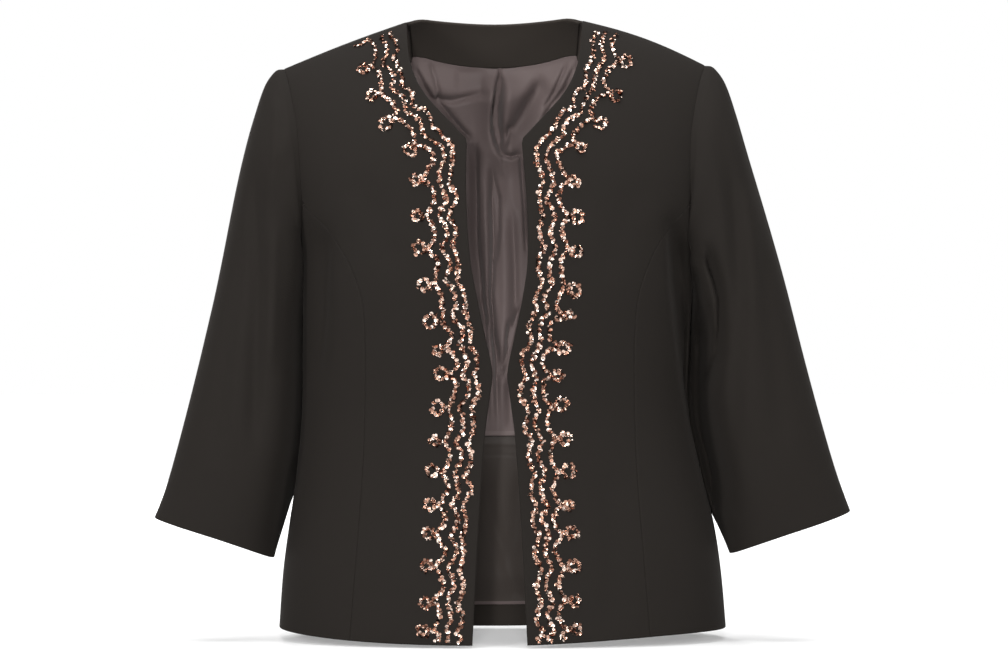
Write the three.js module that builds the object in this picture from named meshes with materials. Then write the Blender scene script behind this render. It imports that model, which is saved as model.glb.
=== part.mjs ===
// A collarless edge-to-edge blazer with three-quarter sleeves, standing filled out and empty.
// Millimetres, +Z up. The front faces -Y and the wearer's left is +X. The origin is between the
// two points where the shoulder seams meet the neckline.
import * as THREE from "three";

// Driving sizes.
const CLOTH = 2; // shell wall: face cloth, interfacing and turnings
const LINING = 1.2; // lining and facing wall
const SEAM = 0.4; // between two pieces at a seam
const NECK_HALF = 86; // neckline half-width on the shoulder
const SHOULDER_HALF = 206;
const SHOULDER_DROP = 46; // neck point down to shoulder point
const SHOULDER_ROLL = 170; // how far below the shoulder seam the body reaches its full depth
const ARMHOLE_BOTTOM = -216;
const HEM = -600;
const NECK_BREAK = -120; // the neckline turns into the front edge here
const SQUARENESS = 2.4; // of the body seen from above: 2 is an ellipse
const BACK_NECK_RISE = 8.5; // the back neck stands this far above the shoulder seams
const BACK_NECK_DIP = 5.5; // and is this much lower in the middle
const LINING_HEM = -409; // the upper lining's turned lower edge
const LINING_FLOOR = -578; // the lower lining's edge, above the shell's hem
const ARM_STEPS = 16; // steps along each half of the armhole
const PRINCESS_STEP = 11; // the princess seam leaves the armhole at this step

// The body from above: half-width on each side, and depth to the front and the back.
const SECTIONS = [
  { z: -600, right: 215, left: 220, front: 118, back: 112 },
  { z: -540, right: 211, left: 215, front: 114, back: 108 },
  { z: -490, right: 205, left: 208, front: 110, back: 102 },
  { z: -440, right: 198, left: 196, front: 107, back: 95 },
  { z: -380, right: 193, left: 181, front: 106, back: 91 },
  { z: -320, right: 192, left: 180, front: 111, back: 95 },
  { z: -260, right: 192, left: 187, front: 117, back: 101 },
  { z: -216, right: 193, left: 193, front: 117, back: 105 },
  { z: -180, right: 204, left: 204, front: 113, back: 108 },
  { z: -140, right: 214, left: 214, front: 108, back: 108 },
  { z: -90, right: 221, left: 221, front: 99, back: 103 },
  { z: -40, right: 222, left: 222, front: 86, back: 92 },
  { z: 10, right: 222, left: 222, front: 72, back: 84 },
];

// Half the distance between the two front edges: they nearly meet above the waist.
const FRONT_EDGE = [
  { z: -600, x: 26 },
  { z: -520, x: 22 },
  { z: -460, x: 18.5 },
  { z: -400, x: 14 },
  { z: -365, x: 9.5 },
  { z: -342, x: 7 },
  { z: -311, x: 13 },
  { z: -273, x: 21 },
  { z: -235, x: 27 },
  { z: -178, x: 28.5 },
  { z: NECK_BREAK, x: 26 },
];

const NECKLINE = [
  { z: NECK_BREAK, x: 26 },
  { z: -107, x: 38 },
  { z: -93, x: 51 },
  { z: -77, x: 65 },
  { z: -60, x: 75 },
  { z: -38, x: 82 },
  { z: 0, x: NECK_HALF },
];

const PRINCESS = [
  { z: -600, x: 143 },
  { z: -520, x: 137 },
  { z: -430, x: 130.5 },
  { z: -364, x: 128.5 },
  { z: -297, x: 129 },
  { z: -258, x: 135 },
  { z: -212, x: 157 },
  { z: -178, x: 188 },
];

// The armhole from the front, on the front and on the back panel.
const ARMHOLE = [
  { z: ARMHOLE_BOTTOM, front: 193, back: 193 },
  { z: -200, front: 189.5, back: 192.5 },
  { z: -180, front: 188, back: 193.5 },
  { z: -140, front: 188.5, back: 195 },
  { z: -110, front: 190.5, back: 196 },
  { z: -80, front: 196, back: 199 },
  { z: -60, front: 201, back: 202.5 },
  { z: -SHOULDER_DROP, front: SHOULDER_HALF, back: SHOULDER_HALF },
];

// Sleeve rings from the armhole to the cuff: outer and inner edge seen from the front, half the
// depth, and how far the ring's middle lies to the front.
const RINGS = [
  { s: 0, outX: 206, outZ: -46, inX: 196, inZ: -216, deep: 57, forward: 0 },
  { s: 0.04, outX: 214, outZ: -49.5, inX: 197, inZ: -219, deep: 61, forward: 0 },
  { s: 0.1, outX: 225, outZ: -64, inX: 197, inZ: -224, deep: 65, forward: 1 },
  { s: 0.18, outX: 236.5, outZ: -94, inX: 196, inZ: -231, deep: 67, forward: 2 },
  { s: 0.26, outX: 246, outZ: -126, inX: 192, inZ: -242, deep: 67, forward: 4 },
  { s: 0.36, outX: 258, outZ: -172, inX: 187, inZ: -260, deep: 65, forward: 7 },
  { s: 0.48, outX: 272, outZ: -230, inX: 181, inZ: -290, deep: 62, forward: 11 },
  { s: 0.6, outX: 285, outZ: -285, inX: 177, inZ: -331, deep: 58, forward: 15 },
  { s: 0.72, outX: 298.5, outZ: -340, inX: 179, inZ: -377, deep: 54, forward: 19 },
  { s: 0.83, outX: 313.5, outZ: -397, inX: 187, inZ: -427, deep: 49, forward: 22 },
  { s: 0.92, outX: 327, outZ: -444, inX: 203, inZ: -476, deep: 44, forward: 24 },
  { s: 1, outX: 340, outZ: -483, inX: 222, inZ: -523, deep: 39, forward: 25 },
];
// How each sleeve hangs: its shift to the body just below the shoulder and at the cuff, and the
// drop of the cuff's outer and inner edge.
const HANG = {
  left: { start: 0.5, towards: 0.5, outer: -6, inner: -1 },
  right: { start: 2, towards: 4.5, outer: 3, inner: 4 },
};
const CAP_END = 0.26; // the ring where the armhole's own shape has faded out

// Soft folds: where they lie, how far they run, and how deep they go (a ridge is negative).
const degrees = (d) => THREE.MathUtils.degToRad(d);
const BODY_FOLDS = [
  { middle: degrees(-61), lean: 0.0002, top: -185, bottom: -345, wide: degrees(3.2), deep: 5 },
  { middle: degrees(-50), lean: 0.0004, top: -215, bottom: -330, wide: degrees(3), deep: -1.8 },
  { middle: degrees(63), lean: -0.0003, top: -180, bottom: -400, wide: degrees(3.6), deep: 6.5 },
  { middle: degrees(52), lean: -0.0005, top: -210, bottom: -350, wide: degrees(3), deep: -2 },
  { middle: degrees(118), lean: 0.0004, top: -170, bottom: -380, wide: degrees(4), deep: 5 },
  { middle: degrees(-116), lean: -0.0003, top: -160, bottom: -400, wide: degrees(4.5), deep: 4.5 },
  { middle: degrees(150), lean: 0.0006, top: -300, bottom: -520, wide: degrees(6), deep: 2.5 },
  { middle: degrees(-152), lean: -0.0006, top: -280, bottom: -500, wide: degrees(6), deep: 2.5 },
];
const SLEEVE_FOLDS = {
  left: [
    { middle: degrees(54), lean: 1.5, top: 0.12, bottom: 0.93, wide: degrees(9), deep: 5 },
    { middle: degrees(138), lean: -1.1, top: 0.14, bottom: 0.6, wide: degrees(8), deep: 3.5 },
    { middle: degrees(-100), lean: -0.8, top: 0.12, bottom: 0.75, wide: degrees(12), deep: 4 },
  ],
  right: [
    { middle: degrees(47), lean: 1.35, top: 0.14, bottom: 0.9, wide: degrees(10), deep: 4.5 },
    { middle: degrees(78), lean: 0.1, top: 0.02, bottom: 0.26, wide: degrees(8), deep: -1.8 },
    { middle: degrees(-92), lean: -0.9, top: 0.14, bottom: 0.8, wide: degrees(12), deep: 4 },
  ],
};
// The lining's folds hang from the pleat at the centre back. Here a fold's middle is its x.
const LINING_FOLDS = [
  { middle: -1, lean: 0.01, top: -34, bottom: -170, wide: 6, deep: -7 },
  { middle: -12, lean: 0.03, top: -45, bottom: -420, wide: 7, deep: 9 },
  { middle: 13, lean: 0.07, top: -60, bottom: -330, wide: 9, deep: 8 },
  { middle: -38, lean: -0.16, top: -50, bottom: -230, wide: 9, deep: 6 },
  { middle: 44, lean: 0.2, top: -50, bottom: -240, wide: 10, deep: 6 },
  { middle: 3, lean: -0.04, top: -180, bottom: -420, wide: 8, deep: 6 },
];

const COLOURS = { shell: 0x2f2b28, lining: 0x5f5452, lower: 0x38332f };

const clamp01 = (t) => Math.min(1, Math.max(0, t));
const smooth = (t) => clamp01(t) ** 2 * (3 - 2 * clamp01(t));
const mix = THREE.MathUtils.lerp;

// The value of one column of a table at a place along it, on a smooth curve through the rows.
function at(table, column, place, along = "z") {
  const last = table.length - 1;
  let i = 0;
  while (i < last - 1 && place > table[i + 1][along]) i++;
  const slope = (k) => {
    const a = table[Math.max(0, k - 1)];
    const b = table[Math.min(last, k + 1)];
    return (b[column] - a[column]) / (b[along] - a[along]);
  };
  const [a, b] = [table[i], table[i + 1]];
  const span = b[along] - a[along];
  const t = clamp01((place - a[along]) / span);
  const [t2, t3] = [t * t, t * t * t];
  return (
    (2 * t3 - 3 * t2 + 1) * a[column] +
    (t3 - 2 * t2 + t) * span * slope(i) +
    (3 * t2 - 2 * t3) * b[column] +
    (t3 - t2) * span * slope(i + 1)
  );
}

// How deep the folds of a list are at a place: soft across, and fading out at both ends.
function foldDepth(folds, across, along, reach) {
  let sum = 0;
  for (const fold of folds) {
    const run = (along - fold.top) / (fold.bottom - fold.top);
    if (run <= 0 || run >= 1) continue;
    const off = (across - fold.middle - fold.lean * (along - fold.top)) / fold.wide;
    sum += fold.deep * Math.exp(-off * off) * smooth(run / reach) * smooth((1 - run) / reach);
  }
  return sum;
}

// Height where the body's surface would close over a point x from the middle: along the
// shoulder seam, and on a round dome over the neck opening.
function shoulderHeight(x) {
  const slope = SHOULDER_DROP / (SHOULDER_HALF - NECK_HALF);
  if (Math.abs(x) > NECK_HALF) return (NECK_HALF - Math.abs(x)) * slope;
  return 1.1 * slope * NECK_HALF * (1 - (x / NECK_HALF) ** 2);
}

const halfWidth = (x, z) => at(SECTIONS, x < 0 ? "right" : "left", z);

// A point of the body's surface. The angle is 0 at the centre front, a right angle at the
// wearer's left side and a half turn at the centre back.
function bodyPoint(angle, z) {
  const [sine, cosine] = [Math.sin(angle), Math.cos(angle)];
  const depth = at(SECTIONS, cosine > 0 ? "front" : "back", z);
  const power = 2 / SQUARENESS;
  const x = Math.sign(sine) * halfWidth(sine, z) * Math.abs(sine) ** power;
  const below = Math.max(0, shoulderHeight(x) - z);
  const roll = Math.sqrt(1 - (1 - Math.min(1, below / SHOULDER_ROLL)) ** 2);
  return new THREE.Vector3(x, -Math.sign(cosine) * depth * Math.abs(cosine) ** power * roll, z);
}

// The angle of the surface point that lies x from the middle, on the front or on the back.
function angleAt(x, z, onBack = false) {
  const share = Math.min(1, Math.abs(x) / halfWidth(x, z));
  const angle = Math.asin(share ** (SQUARENESS / 2));
  return (x < 0 ? -1 : 1) * (onBack ? Math.PI - angle : angle);
}

// A surface point moved out of the cloth's middle by an offset, with the folds in it.
function bodySkin(angle, z, offset) {
  const [turn, drop] = [0.002, 0.05];
  const point = bodyPoint(angle, z);
  const across = bodyPoint(angle + turn, z).sub(bodyPoint(angle - turn, z));
  const down = bodyPoint(angle, z - drop).sub(point);
  const normal = new THREE.Vector3().crossVectors(down, across).normalize();
  const turned = Math.abs(angle) > Math.PI ? angle - Math.sign(angle) * 2 * Math.PI : angle;
  return point.addScaledVector(normal, offset - foldDepth(BODY_FOLDS, turned, z, 0.35));
}

// The whole garment settles a little: the top leans to one side, one shoulder sits higher and
// both bow up, and the hem lifts towards the side seams.
function settle(p) {
  const [wide, onLeft] = [Math.abs(p.x), p.x > 0];
  const upper = smooth((p.z + 150) / 110);
  const onShoulder = clamp01((wide - NECK_HALF) / (SHOULDER_HALF - NECK_HALF));
  const bow = (onLeft ? 4.5 : 1.5) * Math.sin(Math.PI * onShoulder);
  const hemCurve = onLeft ? smooth(wide / 216) : (wide / 216) ** 2.6;
  p.z += upper * (bow + 3.5 * smooth(p.x / SHOULDER_HALF)) + 9 * hemCurve * smooth((-450 - p.z) / 150);
  p.x -= 5.5 * smooth((p.z + 280) / 180);
  return p;
}

// A closed wall from a grid of points: pointAt(column, row, offset) is asked for both faces.
function clothWall(name, columns, rows, pointAt, { thick = CLOTH, colour = "shell", round = false }) {
  const across = round ? columns : columns + 1;
  const perFace = across * (rows + 1);
  const positions = [];
  for (const offset of [thick / 2, -thick / 2])
    for (let row = 0; row <= rows; row++)
      for (let column = 0; column < across; column++)
        positions.push(...settle(pointAt(column, row, offset)).toArray());
  const index = (column, row, face) => face * perFace + row * across + (column % across);
  const faces = [];
  const quad = (a, b, c, d) => faces.push(a, b, c, a, c, d);
  for (let row = 0; row < rows; row++)
    for (let column = 0; column < columns; column++) {
      const corners = [[0, 0], [1, 0], [1, 1], [0, 1]].map(([c, r]) => [column + c, row + r]);
      quad(...corners.map(([c, r]) => index(c, r, 0)));
      quad(...corners.reverse().map(([c, r]) => index(c, r, 1)));
    }
  const rim = (a, b) => quad(index(...b, 0), index(...a, 0), index(...a, 1), index(...b, 1));
  for (let column = 0; column < columns; column++) {
    rim([column, 0], [column + 1, 0]);
    rim([column + 1, rows], [column, rows]);
  }
  for (let row = 0; row < rows && !round; row++) {
    rim([columns, row], [columns, row + 1]);
    rim([0, row + 1], [0, row]);
  }
  const geometry = new THREE.BufferGeometry();
  geometry.setAttribute("position", new THREE.Float32BufferAttribute(positions, 3));
  geometry.setIndex(signedVolume(positions, faces) < 0 ? faces.reverse() : faces);
  geometry.computeVertexNormals();
  const roughness = colour === "shell" ? 0.85 : 0.45;
  const material = new THREE.MeshStandardMaterial({ color: COLOURS[colour], roughness, metalness: 0 });
  const mesh = new THREE.Mesh(geometry, material);
  mesh.name = name;
  return mesh;
}

function signedVolume(positions, faces) {
  const corner = (i) => new THREE.Vector3().fromArray(positions, 3 * faces[i]);
  let sum = 0;
  for (let i = 0; i < faces.length; i += 3)
    sum += corner(i).dot(corner(i + 1).cross(corner(i + 2)));
  return sum;
}

// Armhole heights: step 0 is the shoulder point and ARM_STEPS the underarm.
function armholeHeight(step) {
  const middle = (ARMHOLE_BOTTOM - SHOULDER_DROP) / 2;
  return middle + (-SHOULDER_DROP - middle) * Math.cos((Math.PI * step) / ARM_STEPS);
}

// The armhole's angle on the body at a step, for the front or the back half.
function armholeAngle(step, side, onBack) {
  if (step >= ARM_STEPS) return (side * Math.PI) / 2;
  const z = armholeHeight(step);
  return angleAt(side * at(ARMHOLE, onBack ? "back" : "front", z), z, onBack);
}

const frontGap = (p) => p.setY(p.y - SEAM / 2);
const backGap = (p) => p.setY(p.y + SEAM / 2);

// Centre front: from the front edge and neckline to the princess seam and armhole.
function centreFront(name, side) {
  const [columns, lowRows, highRows] = [8, 13, PRINCESS_STEP];
  const princessTop = armholeHeight(PRINCESS_STEP);
  const breakRow = 3; // rows above the princess seam's top, up to the neckline's corner
  const outline = (row) => {
    if (row <= lowRows) {
      const z = mix(HEM, princessTop, row / lowRows);
      const outer = at(PRINCESS, "x", z) - SEAM / 2;
      return { inX: at(FRONT_EDGE, "x", z), inZ: z, outX: outer, outZ: z };
    }
    const up = row - lowRows;
    const outZ = armholeHeight(PRINCESS_STEP - up);
    const breakZ = armholeHeight(PRINCESS_STEP - breakRow);
    const rise = clamp01((outZ - breakZ) / (-SHOULDER_DROP - breakZ));
    const inZ = up < breakRow ? mix(princessTop, NECK_BREAK, up / breakRow) : mix(NECK_BREAK, 0, rise);
    const inX = up < breakRow ? at(FRONT_EDGE, "x", inZ) : at(NECKLINE, "x", inZ);
    return { inX, inZ, outX: at(ARMHOLE, "front", outZ), outZ };
  };
  const pointAt = (column, row, offset) => {
    const { inX, inZ, outX, outZ } = outline(row);
    const share = column / columns;
    const [x, z] = [mix(inX, outX, share), mix(inZ, outZ, share)];
    return frontGap(bodySkin(angleAt(side * x, z), z, offset));
  };
  return clothWall(name, columns, lowRows + highRows, pointAt, {});
}

// Side front: from the princess seam round to the side seam, up to the lower armhole.
function sideFront(name, side) {
  const topSteps = ARM_STEPS - PRINCESS_STEP;
  const [columns, rows] = [2 * topSteps, 13];
  const princessTop = armholeHeight(PRINCESS_STEP);
  const pointAt = (column, row, offset) => {
    const [share, up] = [column / columns, row / rows];
    const [inZ, outZ] = [mix(HEM, princessTop, up), mix(HEM, ARMHOLE_BOTTOM, up)];
    const inAngle = angleAt(side * (at(PRINCESS, "x", inZ) + SEAM / 2), inZ);
    const step = PRINCESS_STEP + topSteps * share;
    const nearTop = up ** 4;
    const straightZ = mix(princessTop, ARMHOLE_BOTTOM, share);
    const z = mix(inZ, outZ, share) + nearTop * (armholeHeight(step) - straightZ);
    const straight = mix(inAngle, (side * Math.PI) / 2, share);
    const topAngle = angleAt(side * (at(PRINCESS, "x", princessTop) + SEAM / 2), princessTop);
    const straightTop = mix(topAngle, (side * Math.PI) / 2, share);
    const onEdge = share === 0 ? topAngle : armholeAngle(step, side, false);
    return frontGap(bodySkin(straight + nearTop * (onEdge - straightTop), z, offset));
  };
  return clothWall(name, columns, rows, pointAt, {});
}

// Across the back from the wearer's left to the right, every column lies at a share of the
// half-width. NECK_COLUMN of them, each way from the centre, end at the neckline.
const HALF_COLUMNS = [0, 8, 15, 20.5, 29, 38, 47, 56, 64, 72, 80, 90].map(degrees);
const CENTRE_BACK = HALF_COLUMNS.length - 1;
const NECK_COLUMN = 3;
const BACK_LOW_ROWS = 12; // from the hem to the underarm; the armhole's steps go on from there
const BACK_ROWS = BACK_LOW_ROWS + ARM_STEPS;

function backPoint(column, row, offset) {
  const side = column > CENTRE_BACK ? -1 : 1;
  const shareOf = (k) => Math.sin(HALF_COLUMNS[k]) ** (2 / SQUARENESS);
  const [share, neck] = [shareOf(Math.abs(column - CENTRE_BACK)), shareOf(NECK_COLUMN)];
  if (row <= BACK_LOW_ROWS) {
    const z = mix(HEM, ARMHOLE_BOTTOM, row / BACK_LOW_ROWS);
    return backGap(bodySkin(angleAt(side * share * halfWidth(side, z), z, true), z, offset));
  }
  const outZ = armholeHeight(BACK_ROWS - row);
  const rise = (outZ - ARMHOLE_BOTTOM) / (-SHOULDER_DROP - ARMHOLE_BOTTOM);
  const onShoulder = Math.max(0, (share - neck) / (1 - neck));
  const toCentre = (neck - share) / neck;
  const neckTop = BACK_NECK_RISE * smooth(2.5 * toCentre) - BACK_NECK_DIP * smooth(toCentre);
  const top = onShoulder > 0 ? -SHOULDER_DROP * onShoulder : neckTop;
  const z = mix(ARMHOLE_BOTTOM, top, rise);
  return backGap(bodySkin(angleAt(side * share * at(ARMHOLE, "back", outZ), z, true), z, offset));
}

function back() {
  return clothWall("back", 2 * CENTRE_BACK, BACK_ROWS, backPoint, {});
}

// A place on the back between its columns and rows, for what lies inside it.
function onBack(column, row, offset) {
  const c = Math.min(Math.floor(column), 2 * CENTRE_BACK - 1);
  const r = Math.min(Math.floor(row), BACK_ROWS - 1);
  const low = backPoint(c, r, offset).lerp(backPoint(c + 1, r, offset), column - c);
  const high = backPoint(c, r + 1, offset).lerp(backPoint(c + 1, r + 1, offset), column - c);
  return low.lerp(high, row - r);
}

const INSIDE = CLOTH / 2 + SEAM + LINING / 2; // from the shell's middle to a layer lying in it

// The row where the back neck's facing meets the lining: lowest at the centre back.
const FACING_ROWS = 5;
const seamRow = (across) => BACK_ROWS - FACING_ROWS + 0.05 + 0.9 * across * across;

function neckFacing() {
  const columns = 2 * NECK_COLUMN;
  const pointAt = (column, row, offset) => {
    const across = column / NECK_COLUMN - 1;
    const height = row === 0 ? seamRow(across) : BACK_ROWS - FACING_ROWS + row;
    const place = CENTRE_BACK + across * (NECK_COLUMN - 0.03);
    return onBack(place, height, offset - INSIDE - 0.9);
  };
  return clothWall("neck_facing", columns, FACING_ROWS, pointAt, { thick: LINING });
}

// How far a layer inside the back hangs off the shell: its ease, and the folds of its pleat.
function liningStand(x, z, ease) {
  return ease + Math.max(0, foldDepth(LINING_FOLDS, x, z, 0.3));
}

// Lining across the inside of the back, one column in from each side of the shell.
function lining(name, { bottom, top, ease, rows, colour }) {
  const steps = [1, 2.5, 4, 5.5, 7, 8, 9, 9.6, 10, 10.3, 10.55, 10.75, 10.9, 11];
  const places = [...steps, ...steps.slice(0, -1).reverse().map((c) => 2 * CENTRE_BACK - c)];
  const pointAt = (column, row, offset) => {
    const place = places[column];
    const across = (place - CENTRE_BACK) / CENTRE_BACK;
    const height = mix(bottom(across), top(across), row / rows);
    const flat = onBack(place, height, 0);
    const stand = liningStand(flat.x, flat.z, ease(across, row / rows));
    return onBack(place, height, offset - INSIDE - stand);
  };
  return clothWall(name, places.length - 1, rows, pointAt, { thick: LINING, colour });
}

const rowAtHeight = (z) => (BACK_LOW_ROWS * (z - HEM)) / (ARMHOLE_BOTTOM - HEM);

function upperLining() {
  const neckShare = NECK_COLUMN / CENTRE_BACK;
  const top = (across) =>
    Math.abs(across) < neckShare ? seamRow(across / neckShare) - 0.2 : BACK_ROWS - 4.1;
  const ease = (across, up) => 0.3 + 4 * smooth((1 - Math.abs(across)) * 5) * smooth((1 - up) * 4);
  return lining("lining_upper", {
    bottom: () => rowAtHeight(LINING_HEM),
    top,
    ease,
    rows: 18,
    colour: "lining",
  });
}

function lowerLining() {
  return lining("lining_lower", {
    bottom: () => rowAtHeight(LINING_FLOOR),
    top: () => rowAtHeight(LINING_HEM + 12),
    ease: () => 0.3,
    rows: 7,
    colour: "lower",
  });
}

// A point of a sleeve, as if it were on the wearer's left: turn 0 is the outer edge and a right
// angle the front.
function sleevePoint(turn, s, side) {
  const hang = HANG[side > 0 ? "left" : "right"];
  const ring = (place) => {
    const value = (column) => at(RINGS, column, place, "s");
    const share = (1 + Math.cos(turn)) / 2; // 1 on the outer edge, 0 on the inner edge
    const shift = hang.start * smooth(place / 0.2) + hang.towards * place ** 2;
    const drop = mix(hang.inner, hang.outer, share) * place ** 2;
    return new THREE.Vector3(
      mix(value("inX"), value("outX"), share) - shift,
      -value("deep") * Math.sin(turn) - value("forward"),
      mix(value("inZ"), value("outZ"), share) - drop,
    );
  };
  const fade = 1 - smooth(s / CAP_END);
  const point = ring(s);
  if (fade > 0) point.add(armholePoint(turn).sub(ring(0)).multiplyScalar(fade));
  return clearOfBody(point, side);
}

// Below the underarm a sleeve lies against the body: this moves its points just clear of it.
function clearOfBody(point, side) {
  if (point.z > ARMHOLE_BOTTOM) return point;
  const depth = at(SECTIONS, point.y < 0 ? "front" : "back", point.z);
  const share = Math.min(1, Math.abs(point.y) / depth);
  const reach = halfWidth(side, point.z) * (1 - share ** SQUARENESS) ** (1 / SQUARENESS);
  return point.setX(Math.max(point.x, reach + CLOTH + 3 * SEAM));
}

// The sleeve's first edge: just outside the body's armhole, and clear of its wall underneath.
function armholePoint(turn) {
  const step = (ARM_STEPS * Math.acos(Math.cos(turn))) / Math.PI;
  const [angle, z] = [armholeAngle(step, 1, Math.sin(turn) < 0), armholeHeight(step)];
  const under = smooth((step / ARM_STEPS - 0.35) / 0.65);
  const lift = mix(0.9, CLOTH + SEAM, under);
  const point = bodySkin(angle, z, lift).sub(bodySkin(angle, z, 0)).add(bodyPoint(angle, z));
  return point.setX(point.x + 1.1 + 0.6 * Math.sin(turn) ** 2);
}

function sleeve(name, side) {
  const [columns, rows] = [2 * ARM_STEPS, 17];
  const folds = SLEEVE_FOLDS[side > 0 ? "left" : "right"];
  const pointAt = (column, row, offset) => {
    const turn = (2 * Math.PI * column) / columns;
    const s = (row / rows) ** 1.25;
    const [near, far] = [Math.max(0, s - 0.004), Math.min(1, s + 0.004)];
    const along = sleevePoint(turn, far, side).sub(sleevePoint(turn, near, side));
    const around = sleevePoint(turn + 0.01, s, side).sub(sleevePoint(turn - 0.01, s, side));
    const normal = new THREE.Vector3().crossVectors(around, along).normalize();
    const signed = turn > Math.PI ? turn - 2 * Math.PI : turn;
    const point = sleevePoint(turn, s, side);
    point.addScaledVector(normal, offset - foldDepth(folds, signed, s, 0.3));
    return point.setX(side * point.x);
  };
  return clothWall(name, columns, rows, pointAt, { round: true });
}

const blazer = new THREE.Group();
blazer.add(
  centreFront("front_left", 1),
  centreFront("front_right", -1),
  sideFront("side_front_left", 1),
  sideFront("side_front_right", -1),
  back(),
  sleeve("sleeve_left", 1),
  sleeve("sleeve_right", -1),
  neckFacing(),
  upperLining(),
  lowerLining(),
);

export default blazer;
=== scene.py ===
"""A collarless, edge-to-edge blazer with three-quarter sleeves, standing filled out and hollow.

The cloth is drafted in millimetres, as a pattern is, and becomes metres when its mesh is made.
+Z is up, the front faces -Y and the wearer's left is +X.
"""

import math

import bpy
import numpy as np
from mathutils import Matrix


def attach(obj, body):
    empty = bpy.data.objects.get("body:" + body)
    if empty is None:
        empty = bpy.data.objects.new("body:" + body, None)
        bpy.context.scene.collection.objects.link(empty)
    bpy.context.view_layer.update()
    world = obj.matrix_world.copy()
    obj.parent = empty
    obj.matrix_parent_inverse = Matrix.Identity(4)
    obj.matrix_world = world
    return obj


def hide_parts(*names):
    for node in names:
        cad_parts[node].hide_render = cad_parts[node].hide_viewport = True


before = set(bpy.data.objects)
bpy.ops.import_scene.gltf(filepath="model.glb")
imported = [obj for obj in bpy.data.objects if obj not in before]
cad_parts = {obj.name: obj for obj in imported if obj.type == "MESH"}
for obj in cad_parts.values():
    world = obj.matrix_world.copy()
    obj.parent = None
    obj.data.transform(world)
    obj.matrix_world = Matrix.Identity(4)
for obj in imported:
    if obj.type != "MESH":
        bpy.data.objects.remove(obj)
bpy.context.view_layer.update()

MM = 0.001


# ---------------------------------------------------------------- sizes of the pattern

# walls of the shell, the lining and the facing
CLOTH, LINING, FACING = 1.9, 0.8, 1.2
SEAM = -0.3  # two pieces lie this far over each other where they are sewn together
NECK_HALF = 86
SHOULDER_HALF = 206
SHOULDER_DROP = 46
SHOULDER_ROLL = 170  # how far below the shoulder seam the body has its full depth
ARMHOLE_BOTTOM = -216
HEM = -600
NECK_BREAK = -120  # where the neckline turns into the front edge
SQUARENESS = 2.4  # of the body's section: 2 is an ellipse
BACK_NECK_RISE = 5.8  # of the neck's edge behind the neck points
BACK_NECK_DIP = 2.8  # of that edge at the centre back
LINING_HEM = -406.5  # of the upper lining
LINING_FLOOR = -578  # of the lower lining
LINING_LAP = 12  # of the lower lining behind the upper one
ARM_STEPS = 16  # down an armhole, from the shoulder to the underarm
PRINCESS_STEP = 11  # the one that the princess seam starts from
BREAK_STEP = 8  # the one level with the neckline's break
ARMHOLE_GAP = (0.9, 2.4)  # from the body to the sleeve's edge at the shoulder and the underarm
CAP_END = 0.26  # where on its way down the sleeve has left the armhole's shape
INSIDE = 2.0  # from the shell's middle to the middle of a layer lying in it
FLOOR = -602.5
# how far the upper half leans to the wearer's right, how far each shoulder line bows up, how much
# higher the left shoulder sits, and how far the hem lifts at its ends
LEAN, BOW_LEFT, BOW_RIGHT, LEFT_SHOULDER_UP = 5.5, 4.5, 1.5, 3.5
HEM_LIFT, HEM_HALF = 9, 216
# the share of a fold's run over which it fades out, at each end
BODY_FADE, SLEEVE_FADE, LINING_FADE, CREASE_FADE = 0.35, 0.3, 0.3, 0.22


def table(columns, *rows):
    """A table with named columns, each one an array."""
    return dict(zip(columns.split(), np.array(rows, float).T))


SECTIONS = table(
    "z right left front back",
    (-600, 215, 220, 118, 112),
    (-540, 211, 215, 114, 108),
    (-490, 205, 208, 110, 102),
    (-440, 198, 196, 107, 95),
    (-380, 193, 183.5, 106, 91),
    (-320, 192, 184, 111, 95),
    (-260, 192, 188, 117, 101),
    (-216, 193, 193, 117, 105),
    (-180, 204, 204, 113, 108),
    (-140, 214, 214, 108, 108),
    (-90, 221, 221, 99, 103),
    (-40, 222, 222, 86, 92),
    (10, 222, 222, 72, 84),
)
FRONT_EDGE = table(
    "z x",
    (-600, 26), (-520, 22), (-460, 18.5), (-400, 14), (-365, 9.5), (-342, 7),
    (-311, 13), (-273, 21), (-235, 27), (-178, 28.5), (-120, 26),
)
NECKLINE = table(
    "z x",
    (-120, 26), (-107, 38), (-93, 51), (-77, 65), (-60, 75), (-38, 82), (0, 86),
)
PRINCESS = table(
    "z x",
    (-600, 143), (-520, 137), (-430, 130.5), (-364, 128.5),
    (-297, 129), (-258, 135), (-212, 157), (-178, 188),
)
ARMHOLE = table(
    "z front back",
    (-216, 193, 193), (-200, 189.5, 192.5), (-180, 188, 193.5), (-140, 188.5, 195),
    (-110, 190.5, 196), (-80, 196, 199), (-60, 201, 202.5), (-46, 206, 206),
)
# Sleeve rings from the armhole to the cuff: the outer edge seen from the front, the inner edge's
# height and how far it clears the body, half the depth, and how far the middle lies forward.
RINGS = table(
    "s out_x out_z clear in_z deep forward",
    (0, 206, -46, 3, -216, 57, 0),
    (0.04, 214, -49.5, 2.2, -219, 61, 0),
    (0.1, 225, -64, 1.9, -224, 64, 0),
    (0.18, 236.5, -94, 1.9, -231, 65, 0),
    (0.26, 246, -126, 1.9, -242, 64, 1),
    (0.36, 258, -172, 1.9, -260, 62, 4),
    (0.48, 272, -230, 1.9, -290, 59, 8),
    (0.6, 285, -285, 1.9, -331, 56, 13),
    (0.72, 298.5, -340, 1.9, -377, 53, 17),
    (0.83, 313.5, -397, 1.9, -427, 49, 21),
    (0.92, 327, -444, 3, -476, 44, 24),
    (1, 341, -484, 11.5, -523, 39, 25),
)
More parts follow.
